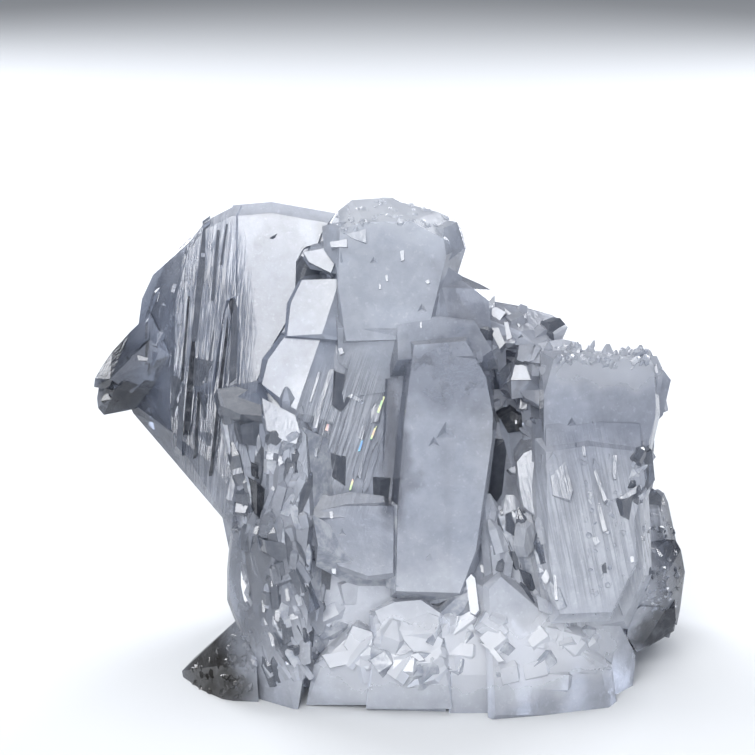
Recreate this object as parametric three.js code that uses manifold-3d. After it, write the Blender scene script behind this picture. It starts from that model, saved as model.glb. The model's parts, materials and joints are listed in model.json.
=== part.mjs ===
// A cluster of faden quartz: flat, milky to clear crystals grown together in one piece,
// standing on a flat cut at its foot. Millimetres, +Z up, the front is towards -Y.
import * as THREE from "three";
import { ConvexGeometry } from "three/addons/geometries/ConvexGeometry.js";
import { mergeVertices } from "three/addons/utils/BufferGeometryUtils.js";
import Module from "manifold-3d";

// The front view that the crystals are drawn in. It looks down on the cluster by viewTilt from
// viewDistance away, its sheet is sheetSize square, and places on it are [across, up] from its
// lower left corner, in millimetres at the middle of the cluster. "near" is the distance in front
// of the middle plane, so a full place is [across, up, near].
const sheetSize = 75.5;
const viewTilt = THREE.MathUtils.degToRad(15);
const viewDistance = 210;
const aimHeight = 29.5; // of the sheet's middle above the foot
const aimAcross = -1.55; // from the cluster's middle to the sheet's middle
const aimDepth = -0.4;

// Shared growth: the bright faces of crystals that grew side by side lie parallel.
const flashTilt = 24; // degrees that the shared bright face leans back
const flashTurn = -7; // degrees that it turns to the left

const fillerMargin = 0.1; // round a gap closed in between crystals
const lathRoot = 0.5; // depth of a growth step's root in the face it lies on
const footTaper = 0.9; // of a crystal's width at its foot

const milky = new THREE.MeshStandardMaterial({ color: 0xc9ced9, roughness: 0.25, metalness: 0 });

const wasm = await Module();
wasm.setup();

// Places

const eye = new THREE.Vector3(
  aimAcross,
  aimDepth - viewDistance * Math.cos(viewTilt),
  aimHeight + viewDistance * Math.sin(viewTilt),
);

function sightLine(across, up) {
  const right = across - sheetSize / 2;
  const rise = up - sheetSize / 2;
  return new THREE.Vector3(
    right,
    viewDistance * Math.cos(viewTilt) + rise * Math.sin(viewTilt),
    -viewDistance * Math.sin(viewTilt) + rise * Math.cos(viewTilt),
  );
}

// The place on the sight line through [across, up] that lies "near" in front of the middle plane.
function place([across, up, near]) {
  const line = sightLine(across, up);
  return eye.clone().addScaledVector(line, (-near - eye.y) / line.y);
}

// A plane through a place, leaning back by tilt and turned to the right by turn, in degrees.
function facePlane(through, tilt, turn) {
  const lean = THREE.MathUtils.degToRad(tilt);
  const swing = THREE.MathUtils.degToRad(turn);
  const normal = new THREE.Vector3(
    Math.cos(lean) * Math.sin(swing),
    -Math.cos(lean) * Math.cos(swing),
    Math.sin(lean),
  );
  return new THREE.Plane().setFromNormalAndCoplanarPoint(normal, place(through));
}

// The place where the sight line through [across, up] meets a plane, "behind" further back.
function onPlane(plane, [across, up, behind = 0]) {
  const line = sightLine(across, up);
  const reach = -plane.distanceToPoint(eye) / plane.normal.dot(line);
  const hit = eye.clone().addScaledVector(line, reach);
  return eye.clone().addScaledVector(line, (hit.y + behind - eye.y) / line.y);
}

// Solids

function toSolid(geometry) {
  const bare = geometry.clone();
  bare.deleteAttribute("normal");
  bare.deleteAttribute("uv");
  const merged = mergeVertices(bare, 1e-4);
  return new wasm.Manifold(
    new wasm.Mesh({
      numProp: 3,
      vertProperties: merged.attributes.position.array,
      triVerts: new Uint32Array(merged.index.array),
    }),
  );
}

function middleOf(corners) {
  const middle = new THREE.Vector3();
  corners.forEach((corner) => middle.addScaledVector(corner, 1 / corners.length));
  return middle;
}

const grown = [];

function grow(points) {
  grown.push(toSolid(new ConvexGeometry(points)));
}

// A flat crystal: a main face whose corners lie on one plane, a rim of [across, up, behind] a
// little behind it, and the rim again "thick" further back, drawn in by "taper" and lower by "fall".
function plate({ through, tilt = 0, turn = 0, corners, rim = corners, thick, taper = 0.85, fall = 0 }) {
  const plane = facePlane(through, tilt, turn);
  const front = corners.map((corner) => onPlane(plane, corner));
  const edge = rim.map((corner) => onPlane(plane, corner));
  const middle = middleOf(edge);
  const step = new THREE.Vector3(0, thick, -fall);
  const back = edge.map((corner) => corner.clone().lerp(middle, 1 - taper).add(step));
  grow([...front, ...edge, ...back]);
}

// A six-sided crystal from foot to tip, flattened by "flat" and turned about its own axis. Its
// faces start to close "peak" of its width below a tip that is a ridge, "ridge" of its width long.
function point({ foot, tip, width, flat = 0.55, turn = 0, peak = 0.6, ridge = 0.3 }) {
  const start = place(foot);
  const end = place(tip);
  const axis = end.clone().sub(start);
  const length = axis.length();
  axis.normalize();
  const side = new THREE.Vector3(1, 0, 0).addScaledVector(axis, -axis.x).normalize();
  side.applyAxisAngle(axis, THREE.MathUtils.degToRad(turn));
  const front = new THREE.Vector3().crossVectors(axis, side);
  const shoulder = Math.max(0.1, length - peak * width);
  const points = [];
  for (let corner = 0; corner < 6; corner += 1) {
    const angle = (corner * Math.PI) / 3;
    const ring = new THREE.Vector3()
      .addScaledVector(side, (Math.cos(angle) * width) / 2)
      .addScaledVector(front, (Math.sin(angle) * width * flat) / 2);
    points.push(start.clone().addScaledVector(ring, footTaper));
    points.push(start.clone().add(ring).addScaledVector(axis, shoulder));
  }
  points.push(end.clone().addScaledVector(side, (ridge * width) / 2));
  points.push(end.clone().addScaledVector(side, (-ridge * width) / 2));
  grow(points);
}

// A free-form crystal from its places alone.
function lump(places) {
  grow(places.map(place));
}

// A long thin growth step on a plane between two places of the view, raised by "rise".
function lath(plane, [fromAcross, fromUp, toAcross, toUp, width, rise]) {
  const run = new THREE.Vector2(toAcross - fromAcross, toUp - fromUp);
  const along = run.clone().normalize();
  const half = new THREE.Vector2(-along.y, along.x).multiplyScalar(width / 2);
  const bevel = Math.min(1.2, run.length() / 5);
  const outline = [
    [fromAcross, fromUp],
    [fromAcross + along.x * bevel + half.x, fromUp + along.y * bevel + half.y],
    [toAcross - along.x * bevel + half.x, toUp - along.y * bevel + half.y],
    [toAcross, toUp],
    [toAcross - along.x * bevel - half.x, toUp - along.y * bevel - half.y],
    [fromAcross + along.x * bevel - half.x, fromUp + along.y * bevel - half.y],
  ];
  const onFace = outline.map((corner) => onPlane(plane, corner));
  const middle = middleOf(onFace);
  const lift = (height) => (corner) => corner.clone().addScaledVector(plane.normal, height);
  const top = onFace.map((corner) => corner.clone().lerp(middle, 0.04));
  grow([...onFace.map(lift(-lathRoot)), ...onFace, ...top.map(lift(rise))]);
}

// The left plate: a broad striated face that leans back, with bevelled sides

// growth steps on it: from [across, up] to [across, up], width, rise
const plateSteps = [
  [18.6, 50.4, 17.8, 34.8, 0.7, 0.25],
  [19.9, 51.8, 18.9, 34.2, 0.9, 0.4],
  [21.5, 52.7, 20.4, 38.2, 0.8, 0.25],
  [23, 45.4, 21.3, 29.4, 0.7, 0.5],
  [22.6, 53, 22.2, 46, 0.6, 0.25],
  [24.3, 53.1, 23.8, 44.6, 0.8, 0.3],
  [26.1, 53.2, 25.6, 42.5, 0.6, 0.2],
  [28.2, 52.8, 27.6, 46.5, 0.9, 0.25],
  [30.4, 52.7, 30, 50.4, 0.8, 0.3],
  [20, 43.8, 18.9, 31.8, 0.5, 0.5],
  [24.6, 41.4, 23.6, 29.4, 0.7, 0.3],
];

function leftPlate() {
  plate({
    through: [25, 40, 6.5],
    tilt: flashTilt,
    turn: flashTurn,
    corners: [
      [20.6, 52.8], [27, 54], [33, 53], [31.5, 34.5], [23.5, 27.3], [17.2, 32.3], [17, 36],
      [17.8, 46.5],
    ],
    rim: [
      [22.4, 53.9, 0.8], [27, 54.2, 0.4], [31, 53.8, 1], [33.6, 53, 2], [19, 51.7, 1.6],
      [17.2, 50, 2.4], [15.3, 48, 3], [14.2, 45.6, 3.4], [12.8, 35.5, 3], [13.3, 34.2, 3.2],
      [18.5, 28.5, 3], [23.2, 22.6, 2.6], [34, 36, 3],
    ],
    thick: 6,
  });
  const plane = facePlane([25, 40, 6.5], flashTilt, flashTurn);
  plateSteps.forEach((step) => lath(plane, step));
}

// Two clear prisms that show behind the plate's left side.
function farLeftPrisms() {
  lump([
    [15, 44.2, 3], [13, 42.3, 3.2], [11.2, 40.3, 3.4], [10.2, 38.9, 3.6], [9.5, 37.7, 4],
    [9.4, 36.8, 4.2], [15, 41.5, 5.4], [11, 37.6, 6.2], [13.2, 36.2, 6], [17, 40, 5.6], [16, 36, 5],
    [16, 44, -2.5], [11.4, 39.5, -1.5], [9.8, 37.3, -0.5], [13, 36, -1], [18, 38, -3],
  ]);
  lump([
    [9.9, 36.9, 3.6], [9.7, 35.7, 3.8], [9.8, 34.7, 4], [10.4, 34, 4.4], [12.5, 34.4, 5],
    [13.4, 34.6, 5], [11.4, 36.4, 6.4], [12.4, 37.4, 6.4], [15.6, 36.6, 5.4], [10.4, 36.4, 0],
    [10.6, 34.6, 0.6], [14, 35, 0], [15, 38, 0],
  ]);
}

// The ridge crystal beside it: bright faces on its left, a dark striated one on its right.
function ridgeCrystal() {
  plate({
    through: [29, 40, 9.2],
    tilt: flashTilt,
    turn: flashTurn,
    corners: [[28.6, 42], [32.1, 41.8], [29.6, 34.5], [26.2, 37.1], [26.8, 39.5]],
    rim: [
      [28, 41.9, 1], [32.3, 42.2, 0.3], [29.4, 33.4, 0.8], [25.8, 37.3, 1], [26.2, 39.6, 1.2],
      [36, 41, 3], [34, 33, 3],
    ],
    thick: 9,
  });
  plate({
    through: [30, 45, 8.2],
    tilt: flashTilt,
    turn: flashTurn,
    corners: [[30.2, 47.5], [33.6, 47.6], [33.6, 46.4], [32.2, 42.1], [28.7, 41.9], [29.1, 45.2]],
    rim: [
      [29.8, 47.3, 1.2], [34.4, 47.8, 0.9], [32.6, 41.6, 0.3], [28.4, 41.6, 1.2], [28.7, 45.2, 1.3],
      [38, 47, 2], [38, 41, 2.4],
    ],
    thick: 9,
  });
  plate({
    through: [32, 49.2, 7.1],
    tilt: flashTilt,
    turn: flashTurn,
    corners: [[31.1, 50.3], [33.8, 50.6], [33.2, 48.2], [31.2, 49.2]],
    rim: [[30.3, 49.7, 1.4], [31, 50.6, 1], [34.6, 51.4, 0.6], [34.6, 47.8, 1], [31, 48.6, 1.4]],
    thick: 8,
  });
}

// The striated face to its right, like a dark window between two milky crystals
const windowSteps = [
  [33.4, 38.6, 31.3, 32.4, 0.6, 0.35],
  [34.9, 37.9, 32.8, 30.4, 0.5, 0.25],
  [36.2, 38.4, 33.4, 28.6, 0.6, 0.35],
  [38.3, 36.2, 35.3, 27.4, 0.7, 0.4],
  [37.8, 31.4, 36.2, 25.8, 0.6, 0.35],
];

function windowFace() {
  const lie = { through: [34, 32, 9.4], tilt: 6, turn: 8 };
  plate({
    ...lie,
    corners: [
      [32.6, 34.5], [33.6, 37.2], [34.8, 39], [38.5, 39.6], [38.2, 25.2], [34.6, 24.8], [32.4, 27.8],
      [30.2, 34],
    ],
    rim: [
      [32, 41.4, 0.6], [38.8, 41.4, 0.6], [38.6, 24.4, 0.6], [34, 24, 0.6], [31, 27, 0.6],
      [29.8, 34.4, 0.6],
    ],
    thick: 9,
  });
  const plane = facePlane(lie.through, lie.tilt, lie.turn);
  windowSteps.forEach((step) => lath(plane, step));
}

// The milky head above the middle

function head() {
  plate({
    through: [39, 46, 9.4],
    tilt: 12,
    turn: 6,
    corners: [
      [34, 52.6], [36.5, 53.3], [41, 53.4], [44.4, 51.6], [44.6, 50], [44.5, 49.4], [43.6, 47.6],
      [42.6, 41.6], [34.6, 41.4], [33.8, 47],
    ],
    rim: [
      [33.2, 53.3, 1.6], [33.8, 54.4, 2.6], [35.2, 55.5, 3.4], [38.4, 55.7, 3.6], [40.4, 55.2, 3.4],
      [43.8, 54.3, 3.4], [44.8, 53.8, 3.2], [45.8, 53.4, 4], [46.3, 52, 4.2], [46.6, 50.7, 3.6],
      [45.2, 49.4, 3], [44.7, 48.8, 2.4], [43.6, 41.2, 1.6], [34, 41, 1.6],
    ],
    thick: 9,
    taper: 0.86,
    fall: 1.6,
  });
  lump([
    [37, 55, 4], [38.2, 55.75, 3.6], [39.2, 55.75, 3.6], [40.2, 55.2, 3.8], [38.4, 53.8, 6],
    [38.5, 54.6, 0], [39.8, 54.4, 1],
  ]);
}

// The shoulder that steps down from the head to the right.
function shoulder() {
  plate({
    through: [46, 43, 8.4],
    tilt: 8,
    turn: 14,
    corners: [[43.6, 46.8], [47.4, 46.6], [48.9, 45.4], [49.2, 40], [48.4, 36], [42, 36], [42, 44]],
    rim: [
      [44.6, 48.6, 2.6], [46, 47.8, 2.6], [48, 47.1, 2.6], [49.1, 46.5, 2.4], [49.5, 46, 2],
      [49.4, 45.1, 1.6], [49.4, 36, 2.2], [41.5, 36, 2],
    ],
    thick: 9,
    fall: 2.2,
  });
}

// The long central crystal

function centralCrystal() {
  plate({
    through: [44, 26, 13.2],
    tilt: 5,
    turn: 4,
    corners: [
      [41.4, 41], [46.6, 41.4], [48.6, 37.8], [49.3, 34], [49.2, 31.5], [48.4, 28], [48, 25.5],
      [47.6, 20.5], [46, 16.2], [39.6, 16.4], [39.8, 25], [40.4, 33],
    ],
    rim: [
      [40.8, 41.6, 1.8], [47, 42.2, 2], [49.1, 37.8, 2.2], [49.7, 33, 2.2], [49.4, 31, 2.2],
      [48.5, 25, 2.2], [48, 19.5, 2.4], [46.4, 15.4, 2], [39, 15.8, 2.6], [39.1, 25, 3], [39.8, 33, 3],
    ],
    thick: 13,
  });
}

// The face below the dark striated one, and the small hollow's roof under it.
function lowerFace() {
  plate({
    through: [36, 21, 13.6],
    tilt: 14,
    turn: -6,
    corners: [
      [31.6, 24.4], [34.6, 24.9], [39.4, 24.9], [39.3, 18.2], [36.8, 17.9], [34, 18.9], [31.2, 21],
    ],
    rim: [
      [30.9, 24, 1.4], [34.4, 25.4, 2.4], [39.8, 25.3, 2.4], [39.8, 17.6, 1.8], [36.6, 17.5, 1],
      [33.6, 18.6, 1], [30.8, 20.6, 1.2],
    ],
    thick: 9,
  });
}

// The right block, milky, with a comb of small points along its top

function rightBlock() {
  plate({
    through: [60, 34, 12],
    tilt: 4,
    turn: 10,
    corners: [
      [55.4, 39.6], [60, 39.4], [64.8, 39.6], [65.4, 38], [65.6, 35], [65.5, 33.6], [64.8, 31],
      [64, 28], [54.4, 28], [54.4, 36],
    ],
    rim: [
      [54, 40.4, 2.4], [57, 40.5, 2.6], [59, 39.9, 2.2], [63.6, 39.9, 2.4], [65.3, 39.3, 2.4],
      [65.8, 38.5, 2.2], [66, 34, 2], [65.4, 32.8, 1.8], [65.2, 30.6, 2], [64.4, 27, 2],
      [53.8, 27.6, 2.4], [54, 36, 2.6],
    ],
    thick: 11,
    fall: 2.6,
  });
}

// the tips of the comb along its top, in the view
const combTips = [
  [53.8, 41], [54.9, 41.3], [56.1, 41.5], [57.1, 41.3], [57.8, 41.3], [58.5, 40.5], [59.1, 40.9],
  [59.9, 40.4], [60.8, 41.1], [61.6, 40.5], [62.3, 40.5], [62.9, 40.9], [63.6, 40.6], [64.1, 41],
  [64.8, 40.5], [65.4, 39.9], [65.8, 39.2],
];

function combPoints() {
  combTips.forEach(([across, up], i) => {
    const near = 8.2 + 1.4 * Math.sin(i * 2.1);
    const width = 1.5 + 0.5 * Math.sin(i * 4.7);
    const foot = [across - 0.3, up - 3, near];
    point({ foot, tip: [across, up, near], width, flat: 0.8, turn: 25 * i });
  });
}

// The tapering lower half of the right block, ridged along its length
const blockRidges = [
  [55.2, 30.6, 55, 21.4, 1.6, 0.6],
  [57.2, 30.4, 56.2, 14.6, 1.5, 0.35],
  [59.2, 30, 61.6, 19.6, 1.1, 0.7],
  [60.8, 30.4, 62.8, 21, 0.9, 0.5],
  [63.3, 28.2, 61.8, 23.4, 1.3, 0.5],
  [58.7, 25, 58.2, 13.8, 1.9, 0.6],
  [61, 19.6, 60.6, 13.8, 1.6, 0.4],
  [63.2, 20, 62.2, 14, 1.4, 0.5],
];

function rightLower() {
  plate({
    through: [58, 22, 13],
    tilt: -3,
    turn: 8,
    corners: [
      [54.2, 30], [60, 31], [63.6, 29], [64, 24], [64.4, 18], [62.4, 13.4], [60, 13], [55.6, 13.4],
      [54.2, 18], [53.8, 25],
    ],
    rim: [
      [53.6, 31, 2], [64.6, 30, 2], [65, 24, 2.4], [65.2, 18, 2.4], [62.8, 12.6, 1.8], [55, 12.6, 2],
      [53.4, 18, 2.4], [53, 25, 2.4],
    ],
    thick: 10,
  });
  const plane = facePlane([58, 22, 13], -3, 8);
  blockRidges.forEach((ridge) => lath(plane, ridge));
}

// The small bright crystal at the block's left, and the spike beside it.
function sideFlash() {
  plate({
    through: [53, 27, 11.6],
    tilt: flashTilt - 4,
    turn: flashTurn,
    corners: [[51.7, 29.3], [52.4, 30.2], [53.6, 30.7], [53.9, 30], [54, 23.6], [52.4, 24.8], [52, 26.5]],
    rim: [
      [51.5, 29.3, 0.8], [52.3, 30.5, 0.8], [53.7, 31, 0.8], [54.6, 30, 1], [54.6, 23.2, 1],
      [52.2, 24.5, 0.8], [51.7, 26.5, 0.8],
    ],
    thick: 8,
  });
  point({ foot: [52.4, 28.1, 8.2], tip: [50.9, 28.4, 8.8], width: 0.7, flat: 0.9 });
}

// Crystals behind the block's right side.
function rightEdgeCrystals() {
  lump([
    [65.6, 39, 7], [66.4, 38.4, 7], [67.1, 37.5, 6.4], [66.7, 36, 6.6], [66.3, 34, 6.6], [65.4, 33, 7],
    [66, 39, 0], [66.8, 37.4, 0], [66, 34, 0], [60, 38, 0], [60, 33, 0],
  ]);
  lump([
    [64.9, 30.6, 8], [65.3, 30.3, 7.4], [65.6, 29.8, 7], [65.2, 29.3, 7.6], [64, 28.6, 8.6],
    [63, 29, 2], [65, 29, 3],
  ]);
  lump([
    [65.2, 28.8, 6], [65.4, 27.4, 5.6], [65.2, 26.5, 5.6], [64.4, 25.8, 6.4], [63.6, 27, 8],
    [63, 29, 6], [62, 26, 2], [64.6, 28.4, 1], [64.6, 26, 1],
  ]);
}

// The clear crystals between the head and the block

function topMiddle() {
  lump([
    [49.2, 45.4, 5], [50.5, 44.7, 4], [52, 44.9, 3.4], [53, 44.6, 3.4], [54.1, 44.2, 3], [55.2, 44, 3],
    [56.2, 43.4, 3.2], [56.8, 42.8, 3.6], [56.3, 42, 4.6], [56.1, 41.4, 5], [52, 42.4, 7.6],
    [49, 43.5, 7.6], [48.6, 41, 7.4], [53.6, 41, 7.8], [50, 44, -4], [55.6, 43.2, -3], [55.6, 40, -4],
    [49, 38, -4],
  ]);
  point({ foot: [51, 40.4, 5.4], tip: [52.4, 45, 4], width: 2.4, flat: 0.7, turn: 15 });
  point({ foot: [53.4, 41, 6], tip: [50.6, 44.9, 5.6], width: 2.2, flat: 0.7, turn: 50 });
  point({ foot: [50, 38, 6.2], tip: [49.6, 43.6, 6.6], width: 2, flat: 0.7, turn: 30 });
  // the crystal whose small triangular face is bright
  plate({
    through: [52, 38.2, 8.6],
    tilt: flashTilt + 2,
    turn: flashTurn,
    corners: [[51.1, 37.5], [52, 38.9], [52.6, 38.9], [53.1, 37.5]],
    rim: [
      [50.7, 37.2, 1], [51.9, 39.3, 0.8], [53, 39.4, 1], [54.2, 38.6, 1.2], [54.4, 36, 1.4],
      [51.2, 35.6, 1.2],
    ],
    thick: 7,
  });
  lump([
    [51.8, 39.5, 7.6], [52, 40.6, 7.4], [52.6, 41.1, 7.2], [54.2, 41.2, 7.6], [56.2, 41.6, 7],
    [57.6, 41.3, 6.6], [58.2, 40.7, 6.6], [55, 39, 10.2], [52.4, 39.4, 8.6], [56.8, 39.6, 9.4],
    [52.4, 40.4, 0], [57, 41, 0], [57, 38, 0], [52, 37, 0],
  ]);
}

// The wall at the back of the hollow between the central crystal and the block.
function hollowWall() {
  plate({
    through: [52, 32, 3],
    tilt: 3,
    turn: -20,
    corners: [[48.6, 37.5], [54.6, 37.5], [54.6, 24], [48.6, 24]],
    thick: 8,
    taper: 1,
  });
  point({ foot: [52, 26, 4.4], tip: [51, 35.6, 4.6], width: 2.6, flat: 0.8, turn: 12 });
  point({ foot: [53.4, 30, 5.4], tip: [53, 37, 6], width: 2.4, flat: 0.8, turn: 30 });
  point({ foot: [50.4, 24, 5], tip: [49.6, 31, 4.2], width: 2, flat: 0.8, turn: 40 });
}

// Small upright points along the hollow's lip.
function lipPoints() {
  point({ foot: [49.4, 18, 11.4], tip: [48.7, 26.1, 11], width: 2.2, flat: 0.7, turn: 20 });
  point({ foot: [51.6, 17, 11.6], tip: [51, 26, 10.6], width: 2.8, flat: 0.7, turn: -15 });
  point({ foot: [53.6, 15.6, 12], tip: [52.6, 24.2, 11.8], width: 2.6, flat: 0.6, turn: 10 });
  point({ foot: [50.4, 16, 12.6], tip: [49.8, 22.4, 12.4], width: 2.2, flat: 0.7, turn: 35 });
  point({ foot: [55.2, 13, 13.4], tip: [54.4, 19, 13.4], width: 1.6, flat: 0.7, turn: 25 });
}

// The far right crystal, clear, with a frosted step

function farRight() {
  lump([
    [64.5, 26, 5.6], [65.1, 26.4, 5], [65.8, 26.6, 4.6], [66.4, 26.2, 4.4], [66.8, 25.3, 4.2],
    [66.9, 24, 4.2], [67.2, 23, 4.2], [67.6, 21.5, 4.2], [64.6, 24.6, 7.2], [65.8, 24.6, 6.6],
    [66.4, 21.6, 7], [62.4, 23.6, 8.4], [63.4, 21, 9], [65, 25.6, -3], [66.6, 23, -3], [62, 24, -4],
    [63, 20, -3],
  ]);
  lump([
    [67.4, 21.8, 4.4], [68.1, 20.5, 4.2], [68.3, 19.5, 4], [68.5, 18.3, 4], [68.2, 16.5, 4],
    [68, 14.5, 4.2], [67.7, 13, 4.6], [65.4, 20.6, 8], [66.6, 18, 8], [64.6, 16.2, 9],
    [66.8, 14.8, 7.4], [63.2, 21, 9.4], [63, 15, 9], [67, 20, -4], [67.4, 15, -4], [62, 20, -5],
    [62, 14, -5],
  ]);
  lump([
    [67.9, 14.6, 4.6], [67.4, 12.4, 5], [66, 11.5, 5.6], [65, 10.9, 6], [63.7, 10.3, 6.8],
    [62.7, 11.8, 8.8], [63, 14.2, 9.4], [64.2, 14.9, 8.8], [66.6, 14.7, 7.2], [66.8, 12.6, -3],
    [64, 10.8, -3], [62, 14, -4], [67, 15, -3],
  ]);
}

// The prisms in front of the plate, on the left
function frontLeftPrisms() {
  plate({
    through: [27, 30, 12],
    tilt: 9,
    turn: -12,
    corners: [
      [22.6, 35.6], [25.6, 36.2], [26.8, 35], [27, 26], [27, 20], [26.6, 16.5], [25.4, 18.5],
      [24.2, 25], [23.2, 30],
    ],
    rim: [
      [21.8, 36.2, 1.6], [22.3, 36.8, 2], [25, 36.9, 1.8], [25.8, 37.4, 2.2], [26.4, 36.6, 1.6],
      [27.6, 34, 1], [27.6, 17, 1], [25.7, 15.6, 1.6], [24.7, 18.5, 1.6], [23.7, 23.5, 1.6],
      [22.6, 30, 1.6], [22, 33.5, 1.6],
    ],
    thick: 8,
  });
  plate({
    through: [29, 30, 12.8],
    tilt: 10,
    turn: 10,
    corners: [[27.2, 34], [29.4, 33.6], [30.6, 32], [31, 24], [30.4, 18], [27.4, 17], [26.8, 25]],
    rim: [
      [26.8, 34.6, 1.2], [29.8, 34.4, 1.6], [31.2, 32.4, 1.6], [31.8, 24, 1.8], [31, 17, 1.6],
      [27, 16, 1.2], [26.4, 25, 1],
    ],
    thick: 8,
  });
  // the bright face near their top
  plate({
    through: [28, 32.6, 13],
    tilt: flashTilt,
    turn: flashTurn,
    corners: [[26.3, 33.9], [29.6, 33], [29.7, 31.6], [27.4, 31.2]],
    rim: [[25.9, 34.3, 0.8], [30, 33.4, 0.9], [30.2, 31.2, 0.9], [27, 30.4, 0.8]],
    thick: 6,
  });
}

// The lower left mass, the thin blade beside it and the lump behind the blade's foot
function lowerLeft() {
  lump([
    [24.4, 23, 12.4], [27, 24, 14], [31, 20, 14.2], [30.6, 9.5, 15.4], [29.6, 3.4, 14.6],
    [25.2, 18, 12.6], [25.8, 15.5, 12.6], [24.8, 13.6, 12.6], [25.8, 11.6, 12.8], [26, 4, 12],
    [27.6, 13, 15.2], [26, 20, 2], [31, 20, 2], [26, 5, 0], [31, 5, 0],
  ]);
  plate({
    through: [24, 17, 11.6],
    tilt: 0,
    turn: -30,
    corners: [
      [23.3, 22], [23.9, 22.4], [24.2, 19.8], [23.9, 16.6], [24.9, 13.6], [25.4, 10.6], [24.6, 11.6],
      [23.6, 13.8], [23, 15.6], [22.9, 18.5],
    ],
    rim: [
      [23.1, 22.6, 0.5], [24.5, 22.8, 0.3], [24.4, 19.8, 0.3], [24.2, 16.6, 0.3], [25.6, 13, 0.5],
      [25.6, 9.4, 0.5], [24.4, 11.3, 0.6], [23.4, 13.7, 0.5], [22.7, 15.5, 0.6], [22.7, 18.5, 0.6],
    ],
    thick: 1.6,
    taper: 0.95,
  });
  lump([
    [24, 13.8, 10], [22.8, 12.8, 8], [22, 11.4, 8], [20.5, 10.5, 7], [19.4, 9.7, 6.6], [18.2, 8.4, 6.4],
    [18.8, 5, 9], [22, 3, 12.6], [26, 3, 13], [25.6, 9.4, 13], [22.6, 9, 12], [23, 12, -2], [19, 8, -2],
    [19, 4, 0], [27, 4, 0], [27, 14, -2],
  ]);
}

// The foot in front: a hollow under the lower face, bright ledges and a rough middle
function frontFoot() {
  // the wall at the back of the hollow
  plate({
    through: [34, 16, 9.6],
    tilt: -6,
    turn: 16,
    corners: [[30, 20], [37.6, 20], [37.6, 12], [30, 12]],
    thick: 8,
    taper: 1,
  });
  point({ foot: [33.4, 13, 11.4], tip: [35.8, 18.6, 10.4], width: 2.2, flat: 0.7, turn: 30 });
  point({ foot: [31.4, 12, 11.6], tip: [32, 18, 11.2], width: 1.8, flat: 0.7, turn: 10 });
  // the broad ledges that face the light
  plate({
    through: [41, 13.4, 14.4],
    tilt: flashTilt + 16,
    turn: flashTurn,
    corners: [[37.4, 13.9], [40, 15.3], [43.8, 13.8], [43.9, 13], [43.5, 12.2], [37.7, 11.8]],
    rim: [
      [36.9, 14, 0.8], [39.9, 15.8, 0.8], [44.3, 14, 0.8], [44.4, 13, 0.8], [43.9, 11.7, 0.8],
      [37.3, 11.4, 0.8], [37, 4, 5.4], [44.6, 4, 5.4],
    ],
    thick: 10,
  });
  plate({
    through: [41, 10.4, 15.6],
    tilt: flashTilt + 12,
    turn: flashTurn,
    corners: [[38.3, 11.3], [43.8, 11.3], [44.3, 10], [43, 9.2], [37.4, 9.2]],
    rim: [
      [37.9, 11.7, 0.8], [44.2, 11.7, 0.8], [44.9, 10, 0.8], [43.6, 8.6, 0.9], [36.9, 8.6, 0.9],
      [36.6, 4.6, 3.2], [45.2, 4.6, 3.2],
    ],
    thick: 12,
  });
  plate({
    through: [35, 11, 14.8],
    tilt: flashTilt + 10,
    turn: flashTurn - 6,
    corners: [[34.6, 11.6], [35.8, 12.6], [37.2, 11.6], [37, 10], [32.4, 9.6]],
    rim: [
      [34.2, 11.9, 0.8], [35.8, 13.2, 0.8], [37.8, 11.8, 0.8], [37.4, 9.2, 1], [31.4, 9, 1],
      [30.6, 5, 3.4], [38, 5, 3.4],
    ],
    thick: 10,
  });
  // the rough middle and its one long bright face
  lump([
    [44.8, 15, 13], [46.8, 17.8, 12.6], [48.6, 16.6, 12.8], [50.6, 12, 14], [49.4, 8, 15.6],
    [45.2, 8, 15.8], [44.4, 12, 14.6], [45, 3, 15.6], [50, 3, 15.6], [44.6, 15, 2], [50, 14, 2],
    [44.6, 4, 0], [51, 4, 0],
  ]);
  plate({
    through: [47.3, 16, 13.6],
    tilt: flashTilt - 6,
    turn: flashTurn,
    corners: [[46.8, 17.6], [47.2, 17.7], [47.8, 14.7], [47.4, 14.3]],
    rim: [[46.5, 17.8, 0.5], [47.3, 18.1, 0.5], [48.1, 14.6, 0.5], [47.4, 13.8, 0.5]],
    thick: 3,
  });
}

// The broad face that slopes down to the right at the foot
function rightFoot() {
  plate({
    through: [54, 12, 14.6],
    tilt: 12,
    turn: 16,
    corners: [[48.9, 16.6], [50.1, 17.8], [50.8, 17.2], [56, 12.8], [60, 9.2], [61, 4], [49.6, 4]],
    rim: [
      [48.3, 17, 0.8], [50, 18.4, 1], [51.2, 17.6, 1], [56.4, 13.2, 1], [61.2, 9, 1], [62, 3, 1.2],
      [48.8, 3, 1],
    ],
    thick: 14,
  });
  lump([
    [55.6, 14, 12.6], [58, 13.6, 13], [62, 13, 11], [63.6, 10, 9], [63.2, 6, 9], [60, 3.4, 13],
    [55, 5, 13], [56, 14, 0], [62.4, 12, 0], [62, 6, 0], [55, 6, 0],
  ]);
}

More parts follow.
